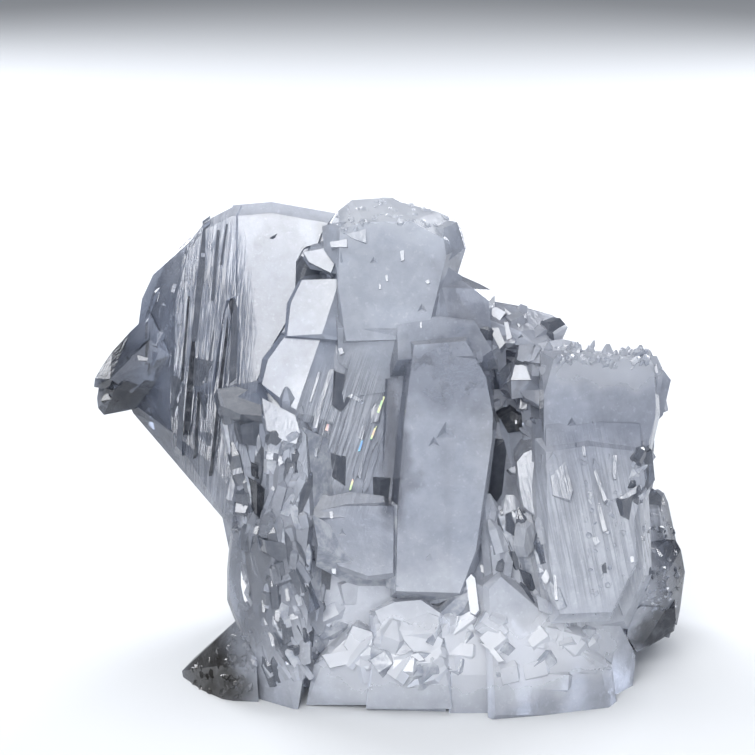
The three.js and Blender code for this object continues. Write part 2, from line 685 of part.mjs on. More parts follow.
// The body that everything grew on, in three blocks
function body() {
  lump([
    [18.6, 46, 0], [31, 50, 1.4], [34, 52, 3], [43, 52, 2.6], [46, 46.4, 3], [48, 24, 3], [48, 3, 10],
    [30, 3, 10], [26, 6, 6], [24.8, 21, 4], [19, 39, 2], [19, 45, -3], [32, 50, -4], [42, 50, -5],
    [48, 40, -5], [48, 12, -9], [28, 12, -9], [25.6, 20, -4], [20, 38, -4],
  ]);
  lump([
    [44, 44.4, 3], [49, 43, 3], [56, 40.6, 2], [64.6, 37.8, 2.6], [63.6, 20, 3], [62, 8, 6],
    [50, 3, 10], [44, 3, 10], [44, 43, -5], [56, 39.6, -4], [64, 36.6, -4], [62, 20, -6], [58, 12, -9],
    [44, 12, -9],
  ]);
  lump([
    [24.6, 30, 8], [30, 40, 7], [42, 46, 6], [48, 38, 6.4], [48.6, 24, 7.6], [48.6, 10, 12.4],
    [30, 8, 13], [26, 20, 9], [24.6, 30, 0], [48, 38, 0], [48, 10, 0], [28, 10, 0],
  ]);
}

function backBody() {
  lump([
    [25, 20, -8], [26, 9, -9], [63, 9, -8], [62, 24, -7], [28, 42, -7], [57, 38, -7], [40, 47, -8],
    [32, 8, -14], [56, 8, -14], [36, 34, -12.4], [52, 31, -12], [26, 9, 0], [62, 9, 0], [28, 42, 0],
    [57, 38, 0],
  ]);
}

// Flat crystals that stand side by side at the back: foot, tip, width, flatness, turn
const backCrystals = [
  [[30, 8, -7], [20.4, 48.2, -7.5], 8.4, 0.5, 10],
  [[34, 8, -8], [28.6, 51.6, -9.5], 10, 0.42, -6],
  [[41, 8, -8], [38.8, 53.4, -10], 11, 0.4, 8],
  [[47, 8, -7], [46.6, 45.6, -9], 9.6, 0.45, -10],
  [[54, 8, -7], [54.4, 42.2, -8.4], 9.4, 0.42, 12],
  [[60, 8, -6], [61.8, 38.6, -8], 8.4, 0.5, -14],
  [[29.4, 7, -10], [24.4, 35, -12.6], 8, 0.5, 20],
  [[38, 7, -11], [34.6, 43, -14.6], 9, 0.45, -14],
  [[45.6, 7, -11], [47.4, 37.4, -14], 9.4, 0.42, 16],
  [[55, 7, -10], [58.4, 31, -13], 8.4, 0.5, -8],
  [[41, 6, -13], [41.4, 26, -17.4], 7.4, 0.5, 12],
  [[33, 6, -12], [30.4, 22.4, -16], 6.6, 0.55, -22],
  [[51, 6, -12], [53.6, 20.4, -16.4], 6.6, 0.55, 24],
  [[60, 6, -8], [64.4, 24, -10.6], 5.6, 0.6, 30],
  [[28, 6, -8], [26.4, 21, -11], 5.4, 0.6, -30],
  [[28, 6, -3], [24.6, 27, -4], 4.6, 0.6, 25],
  [[28, 6, 3], [25.2, 33, 1.6], 5, 0.55, 40],
];

function back() {
  for (const [foot, tip, width, flat, turn] of backCrystals) {
    point({ foot, tip, width, flat, turn });
  }
}

leftPlate();
farLeftPrisms();
ridgeCrystal();
windowFace();
head();
shoulder();
centralCrystal();
lowerFace();
rightBlock();
combPoints();
rightLower();
sideFlash();
rightEdgeCrystals();
topMiddle();
hollowWall();
lipPoints();
farRight();
frontLeftPrisms();
lowerLeft();
frontFoot();
rightFoot();
body();
backBody();
back();

function corners(manifold) {
  const mesh = manifold.getMesh();
  const found = [];
  for (let i = 0; i < mesh.vertProperties.length; i += 3) {
    found.push(new THREE.Vector3().fromArray(mesh.vertProperties, i));
  }
  return found;
}

// The block that fills a gap closed in between crystals, a little larger than the gap.
function fillerFor(gap) {
  const around = [];
  for (const corner of corners(gap)) {
    for (let octant = 0; octant < 8; octant += 1) {
      const step = new THREE.Vector3(octant & 1, (octant >> 1) & 1, octant >> 2);
      around.push(step.multiplyScalar(2).subScalar(1).multiplyScalar(fillerMargin).add(corner));
    }
  }
  return toSolid(new ConvexGeometry(around));
}

function filled(manifold) {
  const gaps = manifold.decompose().filter((piece) => piece.volume() < 0);
  if (gaps.length === 0) {
    return manifold;
  }
  return filled(wasm.Manifold.union([manifold, ...gaps.map(fillerFor)]));
}

// Three-sided growth pits: plane through, tilt, turn, then [across, up, size, depth] for each
const pitted = [
  { lie: [[44, 26, 13.2], 5, 4], pits: [[44.6, 32.2, 1.2, 0.45], [43.4, 31.2, 0.7, 0.3]] },
  { lie: [[39, 46, 9.4], 12, 6], pits: [[37.4, 49.4, 0.5, 0.2], [42.2, 44.6, 0.6, 0.25]] },
  { lie: [[60, 34, 12], 4, 10], pits: [[57.2, 33.2, 0.6, 0.25], [62.8, 31.9, 0.5, 0.2]] },
  { lie: [[36, 21, 13.6], 14, -6], pits: [[34.2, 22.2, 0.5, 0.2]] },
];

function pit(plane, [across, up, size, depth]) {
  const rim = [0, 1, 2].map((corner) => {
    const angle = Math.PI / 2 + (corner * 2 * Math.PI) / 3;
    return onPlane(plane, [across + size * Math.cos(angle), up + size * Math.sin(angle)]);
  });
  const raised = rim.map((corner) => corner.clone().addScaledVector(plane.normal, 0.3));
  const bottom = onPlane(plane, [across, up]).addScaledVector(plane.normal, -depth);
  return toSolid(new ConvexGeometry([...rim, ...raised, bottom]));
}

// The narrow slit between the blade at the lower left and the crystals beside it, open from front to back
const slitOutline = [[24.1, 19.3], [24.6, 19], [25, 16.8], [25.25, 15.2], [25, 14.6], [24.4, 15.5], [24.1, 17]];

function slit() {
  const ends = [16, -16].flatMap((near) => slitOutline.map(([across, up]) => place([across, up, near])));
  return toSolid(new ConvexGeometry(ends));
}

const cuts = pitted.flatMap(({ lie, pits }) => pits.map((hole) => pit(facePlane(...lie), hole)));
cuts.push(slit());

const standing = wasm.Manifold.union(grown).trimByPlane([0, 0, 1], 0);
const solid = filled(standing.subtract(wasm.Manifold.union(cuts)));

function toGeometry(manifold) {
  const mesh = manifold.getMesh();
  const shape = new THREE.BufferGeometry();
  shape.setAttribute("position", new THREE.BufferAttribute(Float32Array.from(mesh.vertProperties), 3));
  shape.setIndex(new THREE.BufferAttribute(Uint32Array.from(mesh.triVerts), 1));
  return shape;
}

// The origin is the middle of the foot, below the middle of the whole.
const geometry = toGeometry(solid);
geometry.computeBoundingBox();
const whole = geometry.boundingBox;
const middle = whole.getCenter(new THREE.Vector3());
geometry.translate(-middle.x, -middle.y, 0);

const cluster = new THREE.Mesh(geometry, milky);
cluster.name = "faden_quartz_cluster";

const group = new THREE.Group();
group.name = "faden_quartz";
group.add(cluster);
export default group;
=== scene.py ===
import bpy
import json
import math
import random
from mathutils import Matrix, Quaternion, Vector
from mathutils.bvhtree import BVHTree

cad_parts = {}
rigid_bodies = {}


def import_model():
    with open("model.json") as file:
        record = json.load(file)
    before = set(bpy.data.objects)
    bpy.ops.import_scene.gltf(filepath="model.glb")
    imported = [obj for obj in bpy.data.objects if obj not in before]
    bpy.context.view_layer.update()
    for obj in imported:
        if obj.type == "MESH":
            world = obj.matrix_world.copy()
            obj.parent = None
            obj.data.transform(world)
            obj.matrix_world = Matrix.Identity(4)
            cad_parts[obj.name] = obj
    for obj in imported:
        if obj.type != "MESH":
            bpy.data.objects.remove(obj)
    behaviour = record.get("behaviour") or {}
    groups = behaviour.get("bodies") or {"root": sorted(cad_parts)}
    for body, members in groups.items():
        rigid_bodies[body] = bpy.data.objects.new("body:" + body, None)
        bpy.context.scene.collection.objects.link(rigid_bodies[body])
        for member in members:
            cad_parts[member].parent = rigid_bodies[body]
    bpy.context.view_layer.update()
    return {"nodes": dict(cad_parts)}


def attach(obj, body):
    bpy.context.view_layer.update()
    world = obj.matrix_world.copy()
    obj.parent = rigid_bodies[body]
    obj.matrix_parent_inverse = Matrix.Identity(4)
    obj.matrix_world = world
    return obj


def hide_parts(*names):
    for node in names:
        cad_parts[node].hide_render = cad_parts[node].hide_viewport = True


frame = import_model()
scene = bpy.context.scene
mm = 0.001

# the front view that the crystals are placed in, the same as the camera's
front = {
    "sheet": 75.5,      # mm across the whole view
    "tilt": 15,         # degrees that the camera looks down
    "distance": 210,
    "aim": (-1.55, -0.93, 29.5),
    "plane": -0.53,     # "near" is counted forward from this depth
}
tilt = math.radians(front["tilt"])
aim = Vector(front["aim"])
eye = aim + front["distance"] * Vector((0, -math.cos(tilt), math.sin(tilt)))


def seen(across, up, near):
    # the place in metres on the sight line through (across, up) mm of the view, "near" mm before the middle
    right = across - front["sheet"] / 2
    rise = up - front["sheet"] / 2
    line = Vector((right,
                   front["distance"] * math.cos(tilt) + rise * math.sin(tilt),
                   -front["distance"] * math.sin(tilt) + rise * math.cos(tilt)))
    return (eye + line * ((front["plane"] - near - eye.y) / line.y)) * mm


def deselect():
    if bpy.context.object and bpy.context.object.mode != 'OBJECT':
        bpy.ops.object.mode_set(mode='OBJECT')
    bpy.ops.object.select_all(action='DESELECT')


def pick(obj):
    deselect()
    obj.select_set(True)
    bpy.context.view_layer.objects.active = obj


def srgb(hexColour, alpha=1.0):
    # sRGB hex to the linear colour that the shaders use
    value = hexColour.lstrip("#")
    out = []
    for i in (0, 2, 4):
        c = int(value[i:i + 2], 16) / 255
        out.append(c / 12.92 if c <= 0.04045 else ((c + 0.055) / 1.055) ** 2.4)
    return (*out, alpha)


# camera
def addCamera():
    bpy.ops.object.camera_add(location=eye * mm, rotation=(math.pi / 2 - tilt, 0, 0))
    camera = bpy.context.object
    camera.name = "photoCamera"
    camera.data.sensor_width = 36
    camera.data.lens = 36 * front["distance"] / front["sheet"]
    camera.data.clip_start = 0.01
    camera.data.clip_end = 20
    scene.camera = camera


addCamera()
print("camera ready")


# materials
def node(tree, kind, settings=None, links=None, values=None):
    # adds a node: settings are attributes, values go on its sockets, links are (socket, from socket)
    n = tree.nodes.new(kind)
    for name, value in (settings or {}).items():
        setattr(n, name, value)
    for name, value in (values or {}).items():
        n.inputs[name].default_value = value
    for name, source in (links or {}).items():
        tree.links.new(source, n.inputs[name])
    return n


# lengths in mm, the rest are shares, sRGB colours and a density per metre
quartzLook = {
    "ior": 1.544,
    "base": "#C0C5D0",          # between milky and clear
    "through": 0.6,             # share of the light that passes into the crystal
    "absorb": "#A3AAB7",
    "density": 55,
    "rough": 0.07,
    "mistRough": 0.16,
    "frostRough": 0.34,
    "mist": {"size": 2.6, "share": 0.06, "colour": "#E9ECF2"},       # fine bubbles
    "veilsAndGlints": {"size": 0.5, "share": 0.06, "colour": "#EEF0F5"},     # small veils, and painted glints
    "frost": {"share": 0.35, "colour": "#E6E9EF"},
    # painted shade: the colour that darkens the grooves of the growth lines
    "lines": {"share": 9, "colour": "#59606F"},
    "etching": {"size": 0.7, "deep": 0.03},
    "drift": {"scale": 260, "far": 0.005},      # how far the zones' edges wander, in metres
}

# milky and clear zones, some of them painted shade and painted light: (across, up, near) mm in the front
# view, radii in mm, colour, share let through
clouds = {
    "leftFlank": {"at": (15, 39, 6), "radii": (7, 12, 14), "colour": "#757C8C", "through": 0.8},
    "leftPlate": {"at": (25, 42, 12), "radii": (11, 10, 18), "colour": "#8B93A4", "through": 0.5},
    "head": {"at": (40, 49, 12), "radii": (10, 10, 12), "colour": "#A2A8B3", "through": 0.35},
    "shoulder": {"at": (47, 44, 6), "radii": (4, 8, 10), "colour": "#A9AEBA", "through": 0.6},
    "window": {"at": (35, 32, 14), "radii": (6, 7, 10), "colour": "#D3D8E1", "through": 0.55},
    "trunk": {"at": (44, 26, 12), "radii": (8, 11, 14), "colour": "#A0A6B3", "through": 0.4},
    # painted shade in the recess along the trunk's left side
    "trunkRecessShade": {"at": (39.3, 30, 12), "radii": (1.6, 7, 8), "colour": "#8B909D", "through": 0.7},
    "hollow": {"at": (51, 33, 6), "radii": (4, 9, 12), "colour": "#C2C6CF", "through": 0.62},
    "block": {"at": (60, 36, 6), "radii": (9, 10, 14), "colour": "#8F95A3", "through": 0.4},
    "blockFoot": {"at": (58, 22, 8), "radii": (9, 10, 10), "colour": "#D2D6DE", "through": 0.4},
    "farRight": {"at": (66.5, 20, 0), "radii": (3.4, 10, 10), "colour": "#787D8A", "through": 0.85},
    "foot": {"at": (40, 12, 12), "radii": (14, 8, 8), "colour": "#D0D4DD", "through": 0.4},
    # painted shade: the clear far-left prisms painted nearly black
    "farLeftShade": {"at": (11.5, 38, 6), "radii": (3.4, 7, 5), "colour": "#363A44", "through": 0.85},
    "trunkTop": {"at": (44.5, 38, 11), "radii": (6, 3.6, 8), "colour": "#8D93A1", "through": 0.6},
    # painted shade: the low right foot painted nearly black near its front faces
    "farRightFootShade": {"at": (66, 12.5, 7), "radii": (3, 2.4, 4), "colour": "#2F333C", "through": 0.8},
    # painted shade: a crystal low at the back left that stands in shadow, painted nearly black, with a faint
    # warm tint of its own
    "lumpInShade": {"at": (20.5, 9, 10), "radii": (6, 6, 5.5), "colour": "#2B2926", "through": 0.4},
    "lowerLeft": {"at": (27, 18, 10), "radii": (5, 9, 8), "colour": "#8F949F", "through": 0.65},
    "footRight": {"at": (53, 12, 12), "radii": (7, 5, 8), "colour": "#DFE2E9", "through": 0.4},
    # painted light: the back, which stands in shade, is painted the palest
    "back": {"at": (37, 24, -17), "radii": (30, 32, 12), "colour": "#ECEEF3", "through": 0.55},
}

# growth lines: where they run, their lean in degrees to the right of up, their width in mm and their depth
grain = {
    "plate": {"at": (20.6, 39, 12), "radii": (4.4, 16, 20), "lean": 5, "width": 0.22, "deep": 0.06},
    "window": {"at": (35, 32, 14), "radii": (5, 8, 8), "lean": 17, "width": 0.2, "deep": 0.05},
    "block": {"at": (59, 24, 10), "radii": (8, 10, 10), "lean": -12, "width": 0.36, "deep": 0.035},
    "back": {"at": (37, 24, -17), "radii": (30, 32, 12), "lean": 90, "width": 0.6, "deep": 0.012},
}

# frosted places
frost = {
    "headRim": {"at": (40, 54.5, 10), "radii": (9, 2.6, 12)},
    "comb": {"at": (60, 40, 6), "radii": (8, 2.4, 12)},
    "farRightPatch": {"at": (65.8, 15.6, 4), "radii": (2.4, 2.6, 6)},
    "foot": {"at": (46, 11, 12), "radii": (18, 4, 12)},
    "blockEdge": {"at": (61, 24, 8), "radii": (3, 8, 6)},
}


def zoneFade(tree, place, zone):
    # 1 in the middle of the zone, falling evenly to 0 at its edge
    inside = node(tree, "ShaderNodeMapping", {"vector_type": 'TEXTURE'}, {"Vector": place},
                  {"Location": seen(*zone["at"]), "Scale": [zone["radii"][i] * 1.6 * mm for i in (0, 2, 1)]})
    return node(tree, "ShaderNodeTexGradient", {"gradient_type": 'SPHERICAL'},
                {"Vector": inside.outputs["Vector"]}).outputs["Fac"]


def zoneShare(tree, place, zone):
    # the same with a full middle and a soft edge
    return spread(tree, zoneFade(tree, place, zone), 0.1, 0.7)


def sums(tree, operation, first, second):
    # a Math node on links or numbers
    n = node(tree, "ShaderNodeMath", {"operation": operation})
    for i, value in enumerate((first, second)):
        if isinstance(value, (int, float)):
            n.inputs[i].default_value = value
        else:
            tree.links.new(value, n.inputs[i])
    return n.outputs[0]


def mixed(tree, kind, share, first, second):
    # a Mix node of colours or numbers
    n = node(tree, "ShaderNodeMix", {"data_type": kind})
    slots = {'RGBA': (0, 6, 7, 2), 'FLOAT': (0, 2, 3, 0), 'VECTOR': (0, 4, 5, 1)}[kind]
    for i, value in zip(slots, (share, first, second)):
        if isinstance(value, (int, float, tuple)):
            n.inputs[i].default_value = value
        else:
            tree.links.new(value, n.inputs[i])
    return n.outputs[slots[3]]


def noise(tree, place, size, detail, rough):
    # cloudy noise with features of "size" mm
    return node(tree, "ShaderNodeTexNoise", links={"Vector": place},
                values={"Scale": 1 / (size * mm), "Detail": detail, "Roughness": rough}).outputs["Fac"]


def spread(tree, value, low, high):
    # 0 below "low", 1 above "high", soft between
    return node(tree, "ShaderNodeMapRange", {"interpolation_type": 'SMOOTHSTEP'}, {"Value": value},
                {"From Min": low, "From Max": high}).outputs["Result"]


def grainLines(tree, place):
    # one noise, stretched along the growth lines of the zone it lies in, and how deep they are there
    along, deep = None, 0.0
    for zone in grain.values():
        lines = node(tree, "ShaderNodeMapping", {"vector_type": 'TEXTURE'}, {"Vector": place},
                     {"Rotation": (0, math.radians(zone["lean"]), 0),
                      "Scale": (zone["width"] * mm, 6 * mm, zone["width"] * 26 * mm)}).outputs["Vector"]
        fade = zoneFade(tree, place, zone)
        along = lines if along is None else mixed(tree, 'VECTOR', spread(tree, fade, 0.2, 0.26), along, lines)
        deep = mixed(tree, 'FLOAT', spread(tree, fade, 0.26, 0.6), deep, zone["deep"])
    value = node(tree, "ShaderNodeTexNoise", links={"Vector": along},
                 values={"Scale": 1, "Detail": 2, "Roughness": 0.7}).outputs["Fac"]
    return spread(tree, value, 0.4, 0.6), deep


def startMaterial(name, rough):
    # a Principled material with quartz's IOR, and the place on the piece that its patterns follow
    mat = bpy.data.materials.new(name)
    mat.use_nodes = True
    tree = mat.node_tree
    shader = tree.nodes["Principled BSDF"]
    shader.inputs["IOR"].default_value = quartzLook["ior"]
    shader.inputs["Roughness"].default_value = rough
    return mat, tree, shader, node(tree, "ShaderNodeTexCoord").outputs["Object"]


def absorbing(tree):
    # long ways through quartz turn grey
    absorb = node(tree, "ShaderNodeVolumeAbsorption",
                  values={"Color": srgb(quartzLook["absorb"]), "Density": quartzLook["density"]})
    tree.links.new(absorb.outputs["Volume"], tree.nodes["Material Output"].inputs["Volume"])


def bumped(tree, shader, height, deep):
    relief = node(tree, "ShaderNodeBump", links={"Height": height},
                  values={"Strength": 1, "Distance": deep * mm})
    tree.links.new(relief.outputs["Normal"], shader.inputs["Normal"])


def quartzMaterial():
    # quartz, as grown: hard glassy faces, milky where fine bubbles fill it, clear near the tips
    mat, tree, shader, place = startMaterial("naturalQuartz", quartzLook["rough"])
    wander = quartzLook["drift"]
    drift = node(tree, "ShaderNodeTexNoise", links={"Vector": place},
                 values={"Scale": wander["scale"], "Detail": 2})
    centred = node(tree, "ShaderNodeVectorMath", {"operation": 'SUBTRACT'}, {0: drift.outputs["Color"]},
                   {1: (0.5, 0.5, 0.5)})
    warped = node(tree, "ShaderNodeVectorMath", {"operation": 'MULTIPLY_ADD'},
                  {0: centred.outputs["Vector"], 2: place}, {1: (wander["far"],) * 3}).outputs["Vector"]

    # zones
    colour, through = srgb(quartzLook["base"]), quartzLook["through"]
    for cloud in clouds.values():
        share = zoneShare(tree, warped, cloud)
        colour = mixed(tree, 'RGBA', share, colour, srgb(cloud["colour"]))
        through = mixed(tree, 'FLOAT', share, through, cloud["through"])

    # fine bubbles, and small veils with painted glints, which also stop some of the light
    mist = spread(tree, noise(tree, place, quartzLook["mist"]["size"], 4, 0.68), 0.36, 0.64)
    veilsAndGlints = spread(tree, noise(tree, place, quartzLook["veilsAndGlints"]["size"], 2, 0.7), 0.58, 0.72)
    for veil, look in ((mist, quartzLook["mist"]), (veilsAndGlints, quartzLook["veilsAndGlints"])):
        share = sums(tree, 'MULTIPLY', veil, look["share"])
        colour = mixed(tree, 'RGBA', share, colour, srgb(look["colour"]))
    through = sums(tree, 'SUBTRACT', through, sums(tree, 'MULTIPLY', veilsAndGlints, 0.05))
    clearer = sums(tree, 'SUBTRACT', 0.5, mist)
    through = sums(tree, 'ADD', through, sums(tree, 'MULTIPLY', clearer, quartzLook["mist"]["share"]))

    # frost
    frosted = None
    for zone in frost.values():
        share = zoneShare(tree, warped, zone)
        frosted = share if frosted is None else sums(tree, 'MAXIMUM', frosted, share)
    sugar = sums(tree, 'MULTIPLY', frosted, quartzLook["frost"]["share"])
    colour = mixed(tree, 'RGBA', sugar, colour, srgb(quartzLook["frost"]["colour"]))

    # growth lines, with painted shade in their grooves, and etching
    lines, deep = grainLines(tree, place)
    etched = noise(tree, place, quartzLook["etching"]["size"], 2, 0.65)
    pits = sums(tree, 'MULTIPLY', etched, quartzLook["etching"]["deep"])
    height = sums(tree, 'ADD', pits, sums(tree, 'MULTIPLY', lines, deep))
    groove = sums(tree, 'MULTIPLY', deep, sums(tree, 'SUBTRACT', 1.0, lines))
    paintedShade = sums(tree, 'MULTIPLY', groove, quartzLook["lines"]["share"])
    colour = mixed(tree, 'RGBA', paintedShade, colour, srgb(quartzLook["lines"]["colour"]))
    bumped(tree, shader, height, 1)

    patchy = mixed(tree, 'FLOAT', mist, quartzLook["rough"], quartzLook["mistRough"])
    rough = mixed(tree, 'FLOAT', frosted, patchy, quartzLook["frostRough"])
    tree.links.new(rough, shader.inputs["Roughness"])
    tree.links.new(colour, shader.inputs["Base Color"])
    tree.links.new(through, shader.inputs["Transmission Weight"])
    absorbing(tree)
    return mat


def paleMaterial():
    # the milkiest faces, and painted light: a lighter copy of the quartz on the sides that get little light
    mat, tree, shader, place = startMaterial("milkyPaintedLightQuartz", 0.14)
    shader.inputs["Transmission Weight"].default_value = 0.35
    mist = spread(tree, noise(tree, place, 1.8, 4, 0.65), 0.36, 0.66)
    tone = mixed(tree, 'RGBA', mist, srgb("#A4AAB7"), srgb("#D3D7DF"))
    tree.links.new(tone, shader.inputs["Base Color"])
    bumped(tree, shader, noise(tree, place, 0.7, 3, 0.65), 0.04)
    absorbing(tree)
    return mat


def clearMaterial(name, colour, through):
    # clear faces that look into the crystal; in a dark colour, painted shade
    mat, tree, shader, place = startMaterial(name, 0.06)
    shader.inputs["Transmission Weight"].default_value = through
    mist = spread(tree, noise(tree, place, 0.9, 3, 0.65), 0.4, 0.68)
    tone = mixed(tree, 'RGBA', sums(tree, 'MULTIPLY', mist, 0.35), srgb(colour), srgb("#C9CED8"))
    tree.links.new(tone, shader.inputs["Base Color"])
    absorbing(tree)
    return mat


rainbowTints = ("#7C9CDC", "#93D6DC", "#B4E0B2", "#EAE6B4", "#E8C6B8", "#CFB6DE")


def rainbowMaterial():
    # a crack as thin as a soap film inside the crystal: it splits the light into bands of colour
    mat, tree, shader, place = startMaterial("rainbowCrack", 0.12)
    bands = node(tree, "ShaderNodeMapping", None, {"Vector": place}, {"Scale": (900, 300, 420)})
    waves = node(tree, "ShaderNodeTexNoise", links={"Vector": bands.outputs["Vector"]},
                 values={"Scale": 1, "Detail": 1})
    ramp = node(tree, "ShaderNodeValToRGB", links={"Fac": waves.outputs["Fac"]})
    for i, tint in enumerate(rainbowTints):
        at = 0.3 + 0.4 * i / (len(rainbowTints) - 1)
        stop = ramp.color_ramp.elements[i] if i < 2 else ramp.color_ramp.elements.new(at)
        stop.position = at
        stop.color = srgb(tint)
    tree.links.new(ramp.outputs["Color"], shader.inputs["Base Color"])
    return mat


def studioMaterial():
    # matt paper, pale
    mat = bpy.data.materials.new("paleFloor")
    mat.use_nodes = True
    shader = mat.node_tree.nodes["Principled BSDF"]
    shader.inputs["Base Color"].default_value = srgb("#D2D4D6")
    shader.inputs["Roughness"].default_value = 1
    shader.inputs["Specular IOR Level"].default_value = 0
    return mat


# the cluster: the CAD solid's own faces, merged
def clusterCopy():
    source = frame["nodes"]["faden_quartz_cluster"]
    pick(source)
    bpy.ops.object.duplicate()
    cluster = bpy.context.object
    cluster.name = "fadenQuartz"
    cluster.data.name = "fadenQuartz"
    cluster.data.materials.clear()
    bpy.ops.object.mode_set(mode='EDIT')
    bpy.ops.mesh.select_all(action='SELECT')
    bpy.ops.mesh.remove_doubles(threshold=0.000002)
    bpy.ops.object.mode_set(mode='OBJECT')
    return cluster


# small growth on the faces, placed where a sight line through the front view meets the cluster
def faceNormal(lean, turn):
    # a face that leans back by "lean" degrees and is turned to the right by "turn"
    lean, turn = math.radians(lean), math.radians(turn)
    return Vector((math.sin(turn) * math.cos(lean), -math.cos(turn) * math.cos(lean), math.sin(lean)))


flashNormal = faceNormal(24, -7)    # mirrors the key light into the camera


def prismShape():
    # six-sided crystal of 1 mm width and length, its foot at the origin, with a blunt pyramid
    bpy.ops.mesh.primitive_cylinder_add(vertices=6, radius=0.5 * mm, depth=0.7 * mm,
                                        location=(0, 0, 0.35 * mm))
    bpy.ops.object.transform_apply(location=True)
    bpy.ops.object.mode_set(mode='EDIT')
    bpy.ops.mesh.select_mode(type='FACE')
    bpy.ops.mesh.select_all(action='DESELECT')
    bpy.ops.object.mode_set(mode='OBJECT')
    for face in bpy.context.object.data.polygons:
        face.select = face.normal.z > 0.9
    bpy.ops.object.mode_set(mode='EDIT')
    bpy.ops.mesh.extrude_region_move(TRANSFORM_OT_translate={"value": (0.06 * mm, -0.04 * mm, 0.3 * mm)})
    bpy.ops.transform.resize(value=(0.28, 0.16, 1))
    bpy.ops.object.mode_set(mode='OBJECT')
    return bpy.context.object


def lathShape():
    # long bar of 1 mm width and length, with its long edges cut off
    bpy.ops.mesh.primitive_cylinder_add(vertices=6, radius=0.5 * mm, depth=1 * mm, location=(0, 0, 0))
    bpy.ops.object.mode_set(mode='EDIT')
    bpy.ops.mesh.select_mode(type='FACE')
    bpy.ops.mesh.select_all(action='DESELECT')
    bpy.ops.object.mode_set(mode='OBJECT')
    for face in bpy.context.object.data.polygons:
        face.select = abs(face.normal.z) > 0.9
    bpy.ops.object.mode_set(mode='EDIT')
    bpy.ops.transform.resize(value=(0.12, 0.12, 1))
    bpy.ops.object.mode_set(mode='OBJECT')
    return bpy.context.object


def chipShape():
    # broken, angular grain of 1 mm
    bpy.ops.mesh.primitive_ico_sphere_add(subdivisions=1, radius=0.5 * mm, location=(0, 0, 0))
    bpy.ops.object.mode_set(mode='EDIT')
    bpy.ops.mesh.select_all(action='SELECT')
    bpy.ops.transform.vertex_random(offset=0.12 * mm, seed=4)
    bpy.ops.object.mode_set(mode='OBJECT')
    return bpy.context.object


def skinOf(target):
    return BVHTree.FromObject(target, bpy.context.evaluated_depsgraph_get())


# looking straight at the other sides: where a look starts (m), its own right and up
otherSides = {
    "back": ((0, 0.2, 0), (-1, 0, 0), (0, 0, 1)),
    "left": ((-0.2, 0, 0), (0, -1, 0), (0, 0, 1)),
    "right": ((0.2, 0, 0), (0, 1, 0), (0, 0, 1)),
    "top": ((0, 0, 0.2), (1, 0, 0), (0, 1, 0)),
}


def surfaceAt(skin, across, up, side="front"):
    # where the sight line through this place meets the cluster, and how the face there is turned
    if side == "front":
        start = eye * mm
        line = (seen(across, up, 0) - start).normalized()
    else:
        away, right, rise = [Vector(part) for part in otherSides[side]]
        start = away + (right * across + rise * up) * mm
        line = -away.normalized()
    spot, normal, face, distance = skin.ray_cast(start, line)
    return spot, normal


def inOutline(across, up, corners):
    inside = False
    for i, (x, y) in enumerate(corners):
        u, v = corners[i - 1]
        if (y > up) != (v > up) and across < (u - x) * (up - y) / (v - y) + x:
            inside = not inside
    return inside


def turned(lean, lift, normal, flat, side):
    # rotation whose own Z leans by "lean" degrees to the right of up and rises from the surface
    # by "lift" (0 to 1), with a flat side of the crystal turned towards "flat"
    angle = math.radians(lean)
    right, rise = Vector((1, 0, 0)), Vector((0, math.sin(tilt), math.cos(tilt)))
    if side != "front":
        right, rise = [Vector(part) for part in otherSides[side][1:]]
    way = right * math.sin(angle) + rise * math.cos(angle)
    way = ((way - normal * way.dot(normal)).normalized() * (1 - lift) + normal * lift).normalized()
    side = (flat - way * flat.dot(way)).normalized()
    frameOf = Matrix((side.cross(way), side, way)).transposed()
    return frameOf.to_quaternion() @ Quaternion((0, 0, 1), math.pi / 6)


def put(shape, spot, rotation, size, bed):
    item = bpy.data.objects.new(shape.name, shape.data.copy())
    item.location = spot
    item.rotation_mode = 'QUATERNION'
    item.rotation_quaternion = rotation
    item.scale = size
    bed.objects.link(item)


